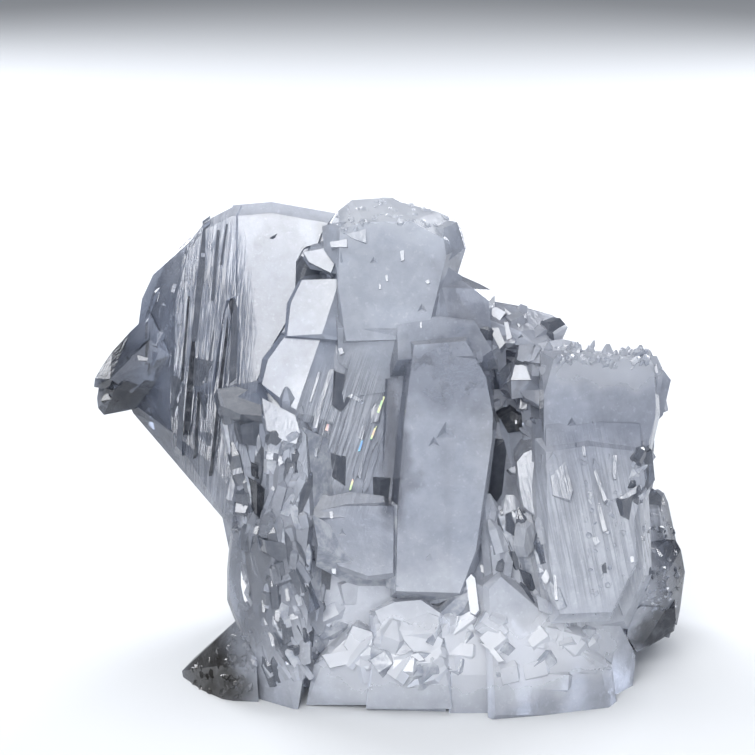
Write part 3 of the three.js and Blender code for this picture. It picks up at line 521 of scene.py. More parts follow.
# zones of small crystals: number, width and length in mm, lean in degrees and its spread, lift out of
# the face, share of the width that is sunk, share that mirrors the key light, corners (across, up)
growth = {
    "headRim": {"shape": "chip", "count": 50, "width": (0.4, 1.2), "length": (0.4, 1.0), "lean": 0,
        "spread": 180, "lift": 0.3, "sunk": 0.2, "corners": [(33.5, 53.6), (37, 55.6), (43, 55),
        (45.6, 53.2), (44.6, 52.4), (38, 53.4), (34, 52)]},
    "plateLaths": {"shape": "lath", "count": 44, "width": (0.18, 0.5), "length": (3, 9), "lean": 5,
        "spread": 1.5, "lift": 0.0, "sunk": 0.28, "glint": 0.5, "looks": ("milky", "milky", "clear"),
        "corners": [(17.4, 44), (20, 50.5), (24, 52), (23.4, 36), (20.5, 27.5), (17.2, 34)]},
    "plateFine": {"shape": "lath", "count": 18, "width": (0.14, 0.3), "length": (2, 5), "lean": 4,
        "spread": 1.5, "lift": 0.0, "sunk": 0.36, "glint": 0.6, "corners": [(24, 52), (29.5, 52.5),
        (29.5, 46), (26, 40), (24, 37.5)]},
    "flankGrains": {"shape": "prism", "count": 12, "width": (0.6, 1.6), "length": (1.2, 3.0), "lean": 20,
        "spread": 14, "lift": 0.05, "sunk": 0.34, "corners": [(15, 46), (18, 50), (17.2, 40), (14.8, 36)]},
    "windowLaths": {"shape": "lath", "count": 46, "width": (0.2, 0.6), "length": (2, 7), "lean": 17,
        "spread": 4, "lift": 0.0, "sunk": 0.22, "glint": 0.45, "looks": ("milky", "clear", "pale"),
        "corners": [(31, 38), (38, 39), (38.4, 30), (36, 26), (31.5, 26)]},
    "upperMass": {"shape": "prism", "count": 12, "width": (0.8, 2.2), "length": (1.0, 2.8), "lean": 25,
        "spread": 40, "lift": 0.2, "sunk": 0.3, "glint": 0.15, "looks": ("milky", "milky", "clear"),
        "corners": [(48.6, 44.6), (55.6, 44.2), (56.5, 42.8), (55, 41.5), (49.5, 40)]},
    "hollowPoints": {"shape": "prism", "count": 12, "width": (0.5, 1.5), "length": (0.8, 2.2), "lean": -30,
        "spread": 50, "lift": 0.2, "sunk": 0.28, "glint": 0.15, "looks": ("milky", "milky", "clear"),
        "corners": [(49, 40), (54, 40), (54.5, 36), (53, 32), (50, 31), (49.5, 36)]},
    "combFoot": {"shape": "prism", "count": 60, "width": (0.3, 0.9), "length": (0.5, 1.4), "lean": 5,
        "spread": 45, "lift": 0.3, "sunk": 0.2, "looks": ("milky", "pale"), "corners": [(55.5, 41.2),
        (64.8, 40.6), (65.2, 38.6), (56, 39)]},
    "leftMass": {"shape": "prism", "count": 60, "width": (0.7, 2.0), "length": (1.5, 4.4), "lean": 6,
        "spread": 22, "lift": 0.06, "sunk": 0.24, "looks": ("milky", "clear", "milky", "pale", "clear"),
        "corners": [(22, 36), (26, 36.5), (30, 34), (30.8, 24), (28, 21), (24, 22), (22.6, 31)]},
    "lowerMass": {"shape": "prism", "count": 60, "width": (0.6, 1.8), "length": (1.2, 3.8), "lean": -12,
        "spread": 24, "lift": 0.06, "sunk": 0.24, "looks": ("milky", "clear", "pale", "milky"),
        "corners": [(26.6, 22), (31, 21.5), (32.5, 14), (31, 8), (26.6, 8)]},
    "footRow": {"shape": "prism", "count": 70, "width": (1.0, 3.4), "length": (1.2, 4.4), "lean": 60,
        "spread": 70, "lift": 0.1, "sunk": 0.3, "glint": 0.07, "looks": ("milky", "milky", "milky", "pale"),
        "corners": [(31, 14), (37, 14.6), (44, 15.6), (52, 14.5), (60, 12), (62, 7), (32, 7)]},
    "gapPoints": {"shape": "prism", "count": 34, "width": (0.6, 1.6), "length": (1.2, 3.4), "lean": -10,
        "spread": 24, "lift": 0.12, "sunk": 0.22, "looks": ("milky", "clear", "pale"), "corners": [(49, 25),
        (54, 24), (55.5, 16), (53, 15), (50, 19)]},
    "blockRidges": {"shape": "lath", "count": 70, "width": (0.4, 1.4), "length": (2.0, 7), "lean": -14,
        "spread": 12, "lift": 0.0, "sunk": 0.14, "glint": 0.35,
        "looks": ("milky", "pale", "milky", "clear"), "corners": [(54.6, 32), (63, 32), (64, 26),
        (62.5, 13.5), (56.5, 13)]},
    "blockSpecks": {"shape": "chip", "count": 40, "width": (0.3, 0.9), "length": (0.3, 0.9), "lean": 0,
        "spread": 180, "lift": 0.2, "sunk": 0.15, "looks": ("milky", "pale"), "corners": [(58, 30),
        (62.5, 26), (63, 17), (59, 16)]},
    "rightEdge": {"shape": "prism", "count": 18, "width": (0.5, 1.4), "length": (0.9, 2.2), "lean": 30,
        "spread": 40, "lift": 0.25, "sunk": 0.25, "looks": ("milky", "clear", "pale"),
        "corners": [(63.4, 31), (65.2, 31), (65, 26), (63, 24.5)]},
    "farRightGrains": {"shape": "chip", "count": 50, "width": (0.4, 1.5), "length": (0.4, 1.5), "lean": 0,
        "spread": 180, "lift": 0.3, "sunk": 0.24, "glint": 0.1, "looks": ("milky", "milky", "clear"),
        "corners": [(64.3, 25), (66.4, 25.6), (68.3, 20), (67.6, 14), (64.5, 12.5), (64, 18)]},
    "frostPatch": {"shape": "chip", "count": 50, "width": (0.25, 0.6), "length": (0.25, 0.6), "lean": 0,
        "spread": 180, "lift": 0.2, "sunk": 0.16, "looks": ("pale", "milky"), "corners": [(64.5, 17.2),
        (66.6, 17.4), (67.2, 15.4), (65.4, 14), (64.2, 14.8)]},
    "backLines": {"side": "back", "shape": "lath", "count": 70, "width": (0.3, 1.1), "length": (3, 10),
        "lean": 3, "spread": 4, "lift": 0.0, "sunk": 0.22, "corners": [(-26, 4), (-26, 30), (-8, 40),
        (14, 42), (20, 30), (20, 4)]},
    "backPoints": {"side": "back", "shape": "prism", "count": 90, "width": (0.8, 2.6), "length": (1.4, 5.0),
        "lean": 0, "spread": 24, "lift": 0.14, "sunk": 0.2, "corners": [(-27, 1), (-27, 28), (-8, 42),
        (14, 44), (22, 30), (20, 1)]},
    "backSteps": {"side": "back", "shape": "lath", "count": 50, "width": (0.2, 0.5), "length": (1.0, 3.0),
        "lean": 90, "spread": 3, "lift": 0.0, "sunk": 0.24, "corners": [(-26, 4), (-26, 30), (-8, 40),
        (14, 42), (20, 30), (20, 4)]},
    "leftPoints": {"side": "left", "shape": "prism", "count": 30, "width": (0.8, 2.4), "length": (1.4, 4.6),
        "lean": 0, "spread": 26, "lift": 0.14, "sunk": 0.2, "corners": [(-14, 2), (-14, 30), (0, 30),
        (2, 2)]},
    "rightPoints": {"side": "right", "shape": "prism", "count": 34, "width": (0.8, 2.2),
        "length": (1.4, 4.2), "lean": 0, "spread": 22, "lift": 0.08, "sunk": 0.28, "corners": [(0, 2),
        (0, 26), (12, 34), (14, 2)]},
    "topGrains": {"side": "top", "shape": "chip", "count": 70, "width": (0.5, 1.4), "length": (0.5, 1.2),
        "lean": 0, "spread": 180, "lift": 0.2, "sunk": 0.3, "corners": [(-20, -3), (-20, 14), (24, 14),
        (24, -3)]},
    "lumpGrains": {"shape": "chip", "count": 60, "width": (0.5, 1.8), "length": (0.5, 1.6), "lean": 0,
        "spread": 180, "lift": 0.3, "sunk": 0.24, "glint": 0.1, "corners": [(18.6, 6.6), (19.0, 8.4),
        (24.2, 12.6), (25.4, 12.4), (25.2, 5.4), (21, 5.2)]},
    "farLeftGrains": {"shape": "lath", "count": 14, "width": (0.3, 0.9), "length": (2.0, 4.5), "lean": 40,
        "spread": 6, "lift": 0.0, "sunk": 0.2, "looks": ("clear", "milky"), "corners": [(9.8, 37),
        (14, 42.6), (14.6, 40), (12.5, 35)]},
}

# how single faces lie
faceTurns = {
    "flash": (24, -7),      # degrees back and to the right: this one mirrors the key light
    "half": (24, 2),
    "dim": (8, 22),
    "side": (4, 38),
    "low": (-8, 6),
    "top": (48, 4),
    "right": (10, 52),
}
# large faces that ease the steps between the crystals: how they face, look, mm that they stand proud,
# corners (across, up) in the view, thickness in mm and where they touch the cluster
# the pale look on the wedges that face sideways or down is painted light
wedges = {
    "underHead": ((-14, 0), "milky", 0.0, [(33.8, 42.7), (39.7, 42.5), (39.8, 37.7), (36.2, 37.5),
                  (33.8, 39.3)], 3, (36.6, 42.5)),
    "trunkShoulder": ((40, 2), "milky", 0.02, [(39.7, 43.5), (44.0, 43.9), (47.4, 43.5), (49.2, 40.5),
                      (48.0, 39.7), (44.0, 39.9), (39.8, 39.5)], 3, (44.0, 39.7)),
    "trunkFlank": ((4, -56), "pale", 0.0, [(37.4, 41.0), (40.1, 41.3), (40.1, 35.0), (38.4, 35.3)], 3,
                   (40.2, 37.5)),
    "trunkFoot": ((-42, 0), "pale", 0.0, [(39.6, 16.9), (45.8, 15.7), (45.2, 13.1), (39.8, 14.1)], 3,
                  (42.5, 16.7)),
    "massSide": ((6, 50), "pale", 0.0, [(30.5, 32.7), (33.4, 31.3), (33.8, 25.0), (30.6, 24.7)], 3,
                 (30.3, 28.5)),
    "massSideLow": ((4, 56), "pale", 0.0, [(30.0, 19.9), (33.0, 18.9), (33.0, 9.7), (30.1, 9.5)], 3,
                    (29.9, 14.5)),
    "blockEase": ((19, 9), "milky", 0.1, [(54.6, 33.5), (57.0, 32.9), (60.0, 33.3), (64.0, 33.1),
                  (64.1, 30.3), (61.0, 29.5), (58.0, 30.3), (54.6, 29.7)], 3, (58.5, 33.1)),
    "windowEase": ((46, 3), "milky", 0.0, [(31.0, 26.5), (33.0, 25.9), (35.0, 26.3), (38.4, 25.9),
                   (38.6, 23.9), (31.4, 23.7)], 3, (35.0, 23.7)),
    "headEase": ((12, 40), "milky", 0.0, [(44.0, 49.3), (46.2, 47.9), (46.8, 43.7), (44.0, 42.9)], 2,
                 (43.6, 46.0)),
    "lowerFaceEase": ((-38, 0), "pale", 0.0, [(31.8, 21.0), (34.5, 19.5), (39.6, 18.1), (39.6, 16.3),
                      (35.0, 17.1), (31.6, 18.9)], 3, (35.6, 19.3)),
    "trunkLowFlank": ((4, -50), "pale", 0.0, [(38.4, 25.0), (39.9, 25.0), (39.7, 16.5), (38.6, 16.7)], 3,
                      (39.9, 21.0)),
    "plateSkin": ((24, -7), "milky", 0.26, [(23.8, 53.9), (27.2, 54.2), (30.0, 53.7), (32.8, 53.2),
                  (32.0, 51.9), (30.3, 50.6), (29.6, 49.3), (29.5, 45.3), (28.6, 43.3), (26.8, 40.3),
                  (25.6, 37.3), (24.0, 37.1)], 0.6, (26.2, 45.5)),
    "plateSkinLeft": ((24, -7), "milky", 0.2, [(18.8, 50.3), (20.5, 52.5), (23.2, 53.9), (23.6, 53.9),
                      (23.6, 45.9), (22.6, 45.5), (21.2, 37.3), (18.4, 37.1), (17.4, 38.3), (17.6, 45.5)],
                      0.5, (21.2, 46.5)),
    "blockSkin": ((11, 9), "milky", 0.75, [(54.6, 30.3), (59.0, 30.9), (64.1, 30.3), (64.5, 27.1),
                  (63.4, 23.5), (63.7, 19.5), (61.2, 14.3), (56.0, 14.1), (54.9, 19.5)], 1.6, (60.0, 25.5)),
    "headLeftEase": ((10, -52), "milky", 0.0, [(32.2, 52.9), (34.0, 53.3), (34.1, 49.3), (33.4, 49.1),
                     (32.4, 50.5)], 3, (34.1, 51.1)),
}

# faces seen one by one: how they face, look, mm that they stand proud, corners (across, up) in the view
facets = {
    "stripCrest": ("flash", "milky", 0.25, [(30.9, 49.3), (30.3, 50.3), (33.3, 50.8), (33.5, 49.3),
                   (33.1, 48.2)]),
    "stripShade": ("dim", "clear", 0.15, [(30.3, 47.6), (30.9, 49.3), (33.3, 48.0), (32.0, 47.7)]),
    "wedgeShade": ("dim", "clear", 0.1, [(29.6, 45.5), (29.7, 48.7), (30.3, 49.8), (30.9, 49.2),
                   (30.2, 47.5)]),
    "crestLeft": ("flash", "milky", 0.2, [(29.8, 51.8), (32.1, 52.1), (31.8, 51.2), (30.5, 50.8)]),
    "crestRight": ("flash", "milky", 0.2, [(33.0, 51.3), (34.7, 51.6), (34.7, 50.8), (33.1, 50.8)]),
    "headCornerFace": ("half", "milky", 0.15, [(34.6, 52.1), (36.6, 52.6), (36.6, 51.2), (35.2, 51.7)]),
    "plateStrip": ((24, 10), "clear", 0.1, [(23.4, 45.8), (24.0, 45.8), (23.8, 41.5), (23.6, 37.7),
                   (22.9, 37.2), (23.1, 41.5)]),
    "plateGroove": ((24, 8), "paintedShade", 0.14, [(23.0, 45.5), (23.3, 45.5), (22.2, 37.3), (21.4, 29.3),
                    (21.1, 29.3), (21.9, 37.3)]),
    "platePatch": ("dim", "clear", 0.02, [(19.8, 39.5), (22.2, 39.3), (21.4, 37.0), (19.4, 36.9)]),
    "plateBandHigh": ((24, 9), "clear", 0.12, [(20.3, 52.9), (21.0, 53.4), (20.6, 49.3), (20.1, 45.5),
                      (19.7, 41.5), (19.2, 41.5), (19.5, 45.5), (19.9, 49.3)]),
    "plateBandThin": ((24, 9), "clear", 0.1, [(22.6, 53.1), (22.8, 53.1), (22.2, 49.1), (22.0, 49.1)]),
    "plateBandLow": ((24, 10), "paintedShade", 0.12, [(19.2, 41.5), (19.7, 41.5), (19.3, 37.0), (19.0, 32.5),
                     (18.4, 32.5), (18.7, 37.0)]),
    "plateLineA": ((24, 10), "clear", 0.12, [(18.0, 37.0), (18.5, 37.0), (18.3, 33.5), (18.2, 30.3),
                   (17.6, 30.9), (17.8, 33.7)]),
    "plateLineB": ((24, 10), "paintedShade", 0.12, [(19.8, 37.0), (20.1, 37.0), (19.9, 33.5), (19.7, 30.0),
                   (19.4, 30.0), (19.6, 33.5)]),
    "plateLineF": ((24, 9), "paintedShade", 0.1, [(18.8, 45.9), (19.0, 45.9), (18.3, 37.5), (18.1, 37.5)]),
    "plateLineG": ((24, 9), "clear", 0.1, [(21.3, 42.5), (21.5, 42.5), (20.7, 37.3), (20.5, 37.3)]),
    "plateLineH": ((24, 9), "clear", 0.1, [(17.6, 40.3), (17.8, 40.3), (17.3, 34.7), (17.1, 34.7)]),
    "plateLineC": ("side", "clear", 0.02, [(20.5, 36.0), (20.6, 36.0), (20.6, 31.5), (20.4, 31.5)]),
    "plateLineD": ("side", "clear", 0.02, [(17.8, 37.7), (18.1, 37.5), (17.6, 33.5), (17.2, 33.9)]),
    "plateLineE": ((24, 9), "clear", 0.1, [(21.7, 52.5), (22.0, 52.5), (21.4, 45.5), (21.1, 45.5)]),
    "plateGlint": ("flash", "milky", 0.1, [(20.1, 50.2), (20.5, 50.2), (20.5, 49.8), (20.1, 49.8)]),
    "flankGlint": ("flash", "milky", 0.2, [(17.3, 47.1), (17.7, 47.1), (17.4, 46.2), (17.1, 46.4)]),
    "plateMark": ("dim", "clear", 0.02, [(27.0, 51.7), (27.8, 52.2), (28.1, 52.0), (27.3, 51.6)]),
    "plateCorner": ("flash", "milky", 0.06, [(20.7, 30.9), (22.2, 30.9), (22.8, 27.0), (21.6, 28.5)]),
    "prismGlint": ("flash", "milky", 0.1, [(10.1, 35.4), (10.4, 36.0), (11.6, 36.4), (11.2, 35.6)]),
    "prismEdge": ("half", "milky", 0.1, [(13.7, 40.0), (14.8, 39.7), (14.7, 39.4), (13.8, 39.5)]),
    "massTop": ("top", "clear", 0.15, [(21.7, 36.6), (23.5, 36.9), (25.2, 36.4), (26.1, 35.3), (26.2, 33.9),
                (24.0, 34.1), (22.0, 35.0)]),
    "massGlint": ("flash", "milky", 0.25, [(23.9, 35.1), (24.7, 35.3), (25.6, 34.7), (25.0, 34.0),
                  (24.4, 34.2)]),
    "massShade": ("dim", "clear", 0.15, [(24.0, 33.0), (26.2, 33.5), (27.5, 31.9), (26.2, 30.8),
                  (24.3, 31.1)]),
    "massFace": ("half", "milky", 0.3, [(26.2, 35.7), (29.5, 34.0), (30.0, 32.3), (29.6, 31.1),
                 (28.3, 31.5), (26.7, 32.5)]),
    "massSliver": ("flash", "milky", 0.25, [(27.5, 30.7), (27.9, 30.9), (28.3, 29.2), (27.9, 28.9)]),
    "massSlitHigh": ("side", "paintedShade", 0.05, [(25.6, 29.1), (26.0, 28.8), (26.0, 27.5), (25.6, 27.8)]),
    "massSlit": ("side", "paintedShade", 0.05, [(25.7, 27.3), (26.4, 26.7), (26.9, 25.5), (27.2, 23.9),
                 (26.2, 23.4), (25.7, 24.1)]),
    "massBlotch": ("flash", "milky", 0.2, [(23.6, 25.2), (24.8, 24.9), (24.5, 24.2), (23.5, 24.3)]),
    "massBlotchHigh": ("half", "milky", 0.2, [(23.2, 28.5), (24.1, 28.8), (24.3, 28.2), (23.3, 28.0)]),
    "massPoint": ("flash", "milky", 0.25, [(25.3, 22.2), (25.5, 22.9), (25.9, 22.9), (25.7, 22.0)]),
    "lowerShade": ("dim", "clear", 0.15, [(26.4, 21.5), (28.4, 21.2), (29.1, 20.0), (28.0, 19.3),
                   (26.7, 20.2)]),
    "lowerGlintA": ("flash", "milky", 0.2, [(28.5, 16.6), (28.8, 16.6), (29.0, 15.4), (28.6, 15.4)]),
    "lowerGlintB": ("flash", "milky", 0.2, [(27.5, 14.7), (28.1, 14.8), (27.9, 13.3), (27.5, 13.5)]),
    "lowerGlintC": ("flash", "milky", 0.2, [(26.8, 12.3), (27.3, 12.2), (27.8, 11.0), (27.2, 10.8)]),
    "lowerGlintD": ("flash", "milky", 0.2, [(26.2, 15.5), (26.6, 15.5), (26.5, 14.3), (26.2, 14.3)]),
    "lowerShadeB": ("dim", "clear", 0.15, [(28.2, 13.0), (29.2, 13.3), (29.5, 11.5), (28.4, 11.0)]),
    "windowStreak": ("flash", "milky", 0.12, [(32.6, 38.5), (33.4, 38.6), (32.3, 35.5), (31.7, 32.7),
                     (31.3, 32.7), (31.7, 36.0)]),
    "rainbowA": ("half", "rainbow", 0.12, [(38.3, 35.9), (38.5, 35.8), (37.9, 34.2), (37.7, 34.3)]),
    "rainbowB": ("half", "rainbow", 0.12, [(37.5, 32.9), (37.7, 32.9), (37.2, 31.6), (37.0, 31.6)]),
    "rainbowC": ("half", "rainbow", 0.12, [(36.2, 31.7), (36.4, 31.7), (36.0, 30.4), (35.8, 30.4)]),
    "rainbowD": ("half", "rainbow", 0.12, [(35.3, 27.9), (35.5, 27.9), (35.1, 26.5), (34.9, 26.5)]),
    "rainbowE": ("half", "rainbow", 0.12, [(32.8, 33.5), (33.0, 33.5), (32.8, 32.4), (32.5, 32.5)]),
    "windowStreakB": ("flash", "milky", 0.1, [(31.8, 38.3), (32.1, 38.3), (31.1, 35.3), (30.9, 35.3)]),
    "windowHatch": ("dim", "clear", 0.06, [(33.6, 38.3), (35.0, 37.9), (35.0, 35.5), (34.1, 34.3),
                    (33.3, 35.0)]),
    "windowCurve": ("flash", "milky", 0.15, [(34.1, 37.7), (34.6, 37.1), (35.3, 36.1), (36.2, 35.5),
                    (35.9, 35.3), (34.9, 35.8), (34.1, 36.9)]),
    "windowSpark": ("flash", "milky", 0.12, [(37.8, 35.5), (38.3, 35.2), (37.8, 33.4), (37.1, 33.2),
                    (37.1, 34.5)]),
    "windowSparkB": ("flash", "milky", 0.12, [(36.3, 33.5), (36.7, 33.4), (36.2, 31.5), (35.8, 31.7)]),
    "windowSparkC": ("half", "milky", 0.12, [(36.0, 29.7), (36.3, 29.6), (36.1, 27.7), (35.8, 27.9)]),
    "windowSparkD": ("flash", "milky", 0.1, [(32.8, 33.1), (33.1, 33.1), (32.9, 32.1), (32.6, 32.2)]),
    "windowHole": ("side", "clear", 0.04, [(33.6, 30.0), (35.0, 29.8), (35.5, 28.5), (34.7, 26.7),
                   (33.7, 27.7)]),
    "windowFoot": ("side", "clear", 0.05, [(38.0, 27.5), (39.0, 27.7), (39.7, 26.9), (39.5, 24.9),
                   (38.0, 24.9)]),
    "windowTop": ("low", "milky", 0.05, [(34.2, 35.7), (38.5, 36.3), (38.6, 40.5), (35.2, 40.3)]),
    "windowGlintA": ("flash", "milky", 0.2, [(33.8, 40.7), (34.2, 40.8), (34.4, 40.2), (34.0, 40.0)]),
    "windowGlintB": ("flash", "milky", 0.2, [(32.9, 24.3), (33.3, 24.4), (33.3, 23.7), (33.0, 23.7)]),
    "windowGlintC": ("flash", "milky", 0.15, [(31.5, 30.7), (31.8, 30.7), (31.7, 29.8), (31.4, 29.9)]),
    "headGlintA": ("flash", "milky", 0.12, [(40.0, 50.4), (40.4, 50.5), (40.4, 49.5), (40.1, 49.4)]),
    "headGlintB": ("flash", "milky", 0.12, [(38.5, 48.0), (38.8, 48.0), (38.8, 47.4), (38.6, 47.4)]),
    "headGlintC": ("flash", "milky", 0.12, [(37.9, 47.1), (38.1, 47.1), (38.1, 46.6), (37.9, 46.6)]),
    "headGlintD": ("flash", "milky", 0.12, [(42.5, 47.4), (42.9, 47.6), (43.0, 47.2), (42.7, 47.1)]),
    "headGlintE": ("flash", "milky", 0.12, [(42.0, 43.3), (42.2, 43.3), (42.2, 42.7), (42.0, 42.7)]),
    "headSide": ("right", "milky", 0.1, [(44.4, 52.7), (45.7, 53.3), (46.5, 50.7), (44.7, 49.3),
                 (44.3, 51.0)]),
    "trunkOval": ("low", "milky", 0.0, [(42.6, 19.7), (43.0, 20.0), (43.3, 19.5), (43.0, 18.9),
                  (42.6, 19.1)]),
    "upperLight": ("flash", "milky", 0.3, [(48.6, 44.5), (49.6, 44.8), (50.6, 44.3), (50.0, 43.5),
                   (48.8, 43.3)]),
    "upperStreak": ("flash", "milky", 0.3, [(49.0, 43.5), (49.6, 43.3), (50.5, 41.2), (50.0, 40.6),
                    (49.3, 41.9)]),
    "upperStreakB": ("flash", "milky", 0.3, [(50.4, 43.3), (50.8, 43.3), (51.2, 41.7), (50.7, 41.5)]),
    "upperFace": ("half", "milky", 0.3, [(51.9, 41.0), (53.5, 41.2), (53.1, 40.2), (52.3, 39.3),
                  (51.7, 39.5)]),
    "upperTriangle": ("flash", "milky", 0.3, [(51.5, 39.0), (52.4, 39.0), (53.1, 37.5), (51.1, 37.5)]),
    "upperSliver": ("half", "milky", 0.3, [(53.6, 41.0), (54.1, 40.7), (53.4, 39.5), (53.0, 39.4)]),
    "upperShade": ("right", "clear", 0.15, [(55.0, 43.3), (56.0, 43.7), (56.6, 43.0), (55.6, 41.8),
                   (54.8, 42.2)]),
    "upperSpecks": ("half", "milky", 0.1, [(47.6, 40.3), (48.2, 40.4), (48.3, 39.4), (47.8, 39.2)]),
    "hollowFace": ("dim", "clear", 0.15, [(49.5, 38.5), (51.2, 39.3), (50.9, 37.5), (50.0, 36.6)]),
    "hollowMilk": ("half", "milky", 0.2, [(51.5, 37.0), (54.0, 37.5), (54.8, 36.0), (54.0, 35.0),
                   (52.5, 35.7)]),
    "hollowHole": ("low", "paintedShade", 0.15, [(50.0, 33.7), (51.2, 34.4), (52.9, 33.5), (52.2, 32.4),
                   (50.8, 32.2)]),
    "hollowSpark": ("flash", "milky", 0.4, [(51.5, 33.5), (51.7, 33.5), (51.7, 33.1), (51.5, 33.1)]),
    "hollowWall": ("dim", "clear", 0.05, [(49.7, 31.5), (51.8, 31.5), (51.6, 28.5), (49.7, 25.3),
                   (48.7, 26.5)]),
    "hollowSpike": ("half", "milky", 0.3, [(50.8, 28.6), (51.8, 29.0), (51.9, 28.3), (51.2, 28.2)]),
    "blockEtched": ((22, -3), "milky", 0.15, [(55.3, 30.7), (56.1, 30.8), (57.3, 26.5), (57.0, 25.5),
                    (55.3, 26.0), (55.0, 28.5)]),
    "blockGlintA": ("flash", "milky", 0.25, [(58.2, 30.9), (58.5, 30.9), (58.6, 29.9), (58.3, 29.9)]),
    "blockStreakA": ("flash", "milky", 0.35, [(59.1, 29.1), (59.4, 29.1), (60.7, 25.6), (60.4, 25.3)]),
    "blockStreakB": ("flash", "milky", 0.35, [(59.7, 25.0), (60.0, 25.1), (60.7, 22.5), (60.3, 22.3)]),
    "blockLath": ("flash", "milky", 0.35, [(61.3, 30.0), (61.7, 30.0), (61.6, 27.6), (61.3, 27.6)]),
    "blockCorner": ("flash", "milky", 0.35, [(61.9, 25.7), (63.7, 26.9), (63.6, 26.2), (62.2, 25.4)]),
    "blockGlintB": ("flash", "milky", 0.35, [(59.2, 21.7), (59.7, 21.9), (60.0, 21.3), (59.5, 20.9)]),
    "blockGlintC": ("flash", "milky", 0.3, [(63.0, 19.9), (63.4, 19.9), (63.4, 19.3), (63.1, 19.2)]),
    "blockMark": ("low", "clear", 0.1, [(60.2, 18.8), (60.6, 19.1), (60.7, 18.1), (60.3, 18.0)]),
    "gapDiamond": ("flash", "milky", 0.35, [(54.1, 17.7), (54.7, 18.8), (55.1, 18.0), (54.6, 17.0)]),
    "gapWindowA": ("side", "milky", 0.2, [(52.6, 22.6), (53.2, 23.2), (53.6, 22.0), (53.3, 20.4),
                   (52.7, 19.8), (52.4, 20.8)]),
    "gapWindowB": ("side", "clear", 0.2, [(52.7, 18.3), (53.1, 18.1), (53.6, 16.5), (53.2, 16.4)]),
    "gapWindowC": ("dim", "clear", 0.2, [(50.8, 24.0), (51.6, 24.5), (51.4, 21.9), (50.7, 22.4)]),
    "gapWindowD": ("side", "milky", 0.2, [(54.7, 15.5), (55.2, 15.1), (55.4, 13.9), (54.9, 14.2)]),
    "gapSliver": ("flash", "milky", 0.3, [(55.3, 18.0), (55.6, 18.0), (55.8, 15.5), (55.5, 15.5)]),
    "longFacet": ("flash", "milky", 0.4, [(46.6, 17.5), (47.1, 18.1), (47.5, 17.7), (47.9, 14.5),
                  (47.5, 14.0), (47.0, 14.3)]),
    "longGlint": ("flash", "milky", 0.3, [(48.0, 19.1), (48.5, 18.7), (48.7, 18.1), (48.1, 18.3)]),
    "slabTop": ((20, 2), "milky", 0.1, [(37.5, 14.4), (39.5, 15.3), (42.1, 15.5), (44.0, 14.2),
                (44.1, 13.5), (43.4, 12.7), (40.0, 13.3), (38.3, 12.6)]),
    "slabFoot": ("half", "milky", 0.1, [(40.0, 12.5), (43.0, 12.5), (44.3, 11.5), (44.0, 10.5),
                 (41.4, 10.3), (40.4, 11.5)]),
    "slabLeft": ("half", "milky", 0.15, [(35.3, 12.9), (37.2, 12.3), (37.3, 11.4), (35.2, 9.9),
                 (34.4, 11.0)]),
    "slabLow": ("half", "milky", 0.3, [(32.2, 10.0), (34.8, 10.5), (35.6, 9.3), (33.0, 8.7)]),
    "footCurve": ("flash", "milky", 0.3, [(48.0, 11.2), (49.2, 10.9), (50.4, 9.4), (49.8, 9.3),
                  (48.9, 10.5)]),
    "footGlint": ("flash", "milky", 0.3, [(41.1, 10.0), (41.8, 10.2), (42.5, 9.5), (41.9, 9.4)]),
    "footWindow": ("dim", "milky", 0.1, [(34.1, 17.0), (35.2, 17.5), (36.8, 17.3), (36.7, 15.0),
                   (34.5, 15.1)]),
    "footShade": ("dim", "clear", 0.1, [(30.6, 19.0), (32.5, 19.7), (33.8, 18.3), (33.2, 16.5),
                  (31.2, 16.7)]),
    "footGlintB": ("flash", "milky", 0.2, [(33.1, 18.9), (33.6, 18.8), (33.6, 18.1), (33.2, 18.2)]),
    "rightGap": ("side", "clear", 0.1, [(62.2, 25.4), (63.3, 26.0), (63.7, 25.2), (63.0, 23.4),
                 (62.4, 23.9)]),
    "rightTop": ("dim", "clear", 0.15, [(64.0, 25.5), (65.5, 26.5), (66.2, 25.8), (66.0, 24.0),
                 (64.0, 24.4)]),
    "rightShade": ("low", "paintedShade", 0.15, [(64.0, 13.5), (65.5, 14.5), (67.5, 14.7), (67.6, 13.5),
                   (67.2, 12.4), (65.0, 11.0), (63.3, 10.5)]),
    "rightGlintA": ("flash", "milky", 0.25, [(65.5, 20.6), (65.8, 20.6), (66.3, 19.9), (66.0, 19.8)]),
    "rightGlintB": ("flash", "milky", 0.25, [(66.1, 25.5), (66.4, 25.6), (66.5, 25.1), (66.2, 25.0)]),
    "rightGlintC": ("flash", "milky", 0.25, [(64.0, 21.9), (64.5, 21.9), (64.5, 21.5), (64.1, 21.5)]),
    "edgePrism": ("dim", "clear", 0.2, [(64.1, 29.9), (65.2, 30.5), (65.5, 27.5), (64.6, 26.3),
                  (64.0, 27.4)]),
    "edgeGlint": ("flash", "milky", 0.3, [(64.5, 29.2), (65.3, 30.0), (65.1, 28.9), (64.6, 28.7)]),
}


def sightTo(across, up, spot, normal):
    # where the sight line through this place meets the plane through "spot"
    start = eye * mm
    line = seen(across, up, 0) - start
    return start + line * ((spot - start).dot(normal) / line.dot(normal))


def dress(piece, looks, look):
    # every piece carries all the looks, in the cluster's order, so that the union keeps them
    for finish in looks.values():
        piece.data.materials.append(finish)
    for face in piece.data.polygons:
        face.material_index = list(looks).index(look)


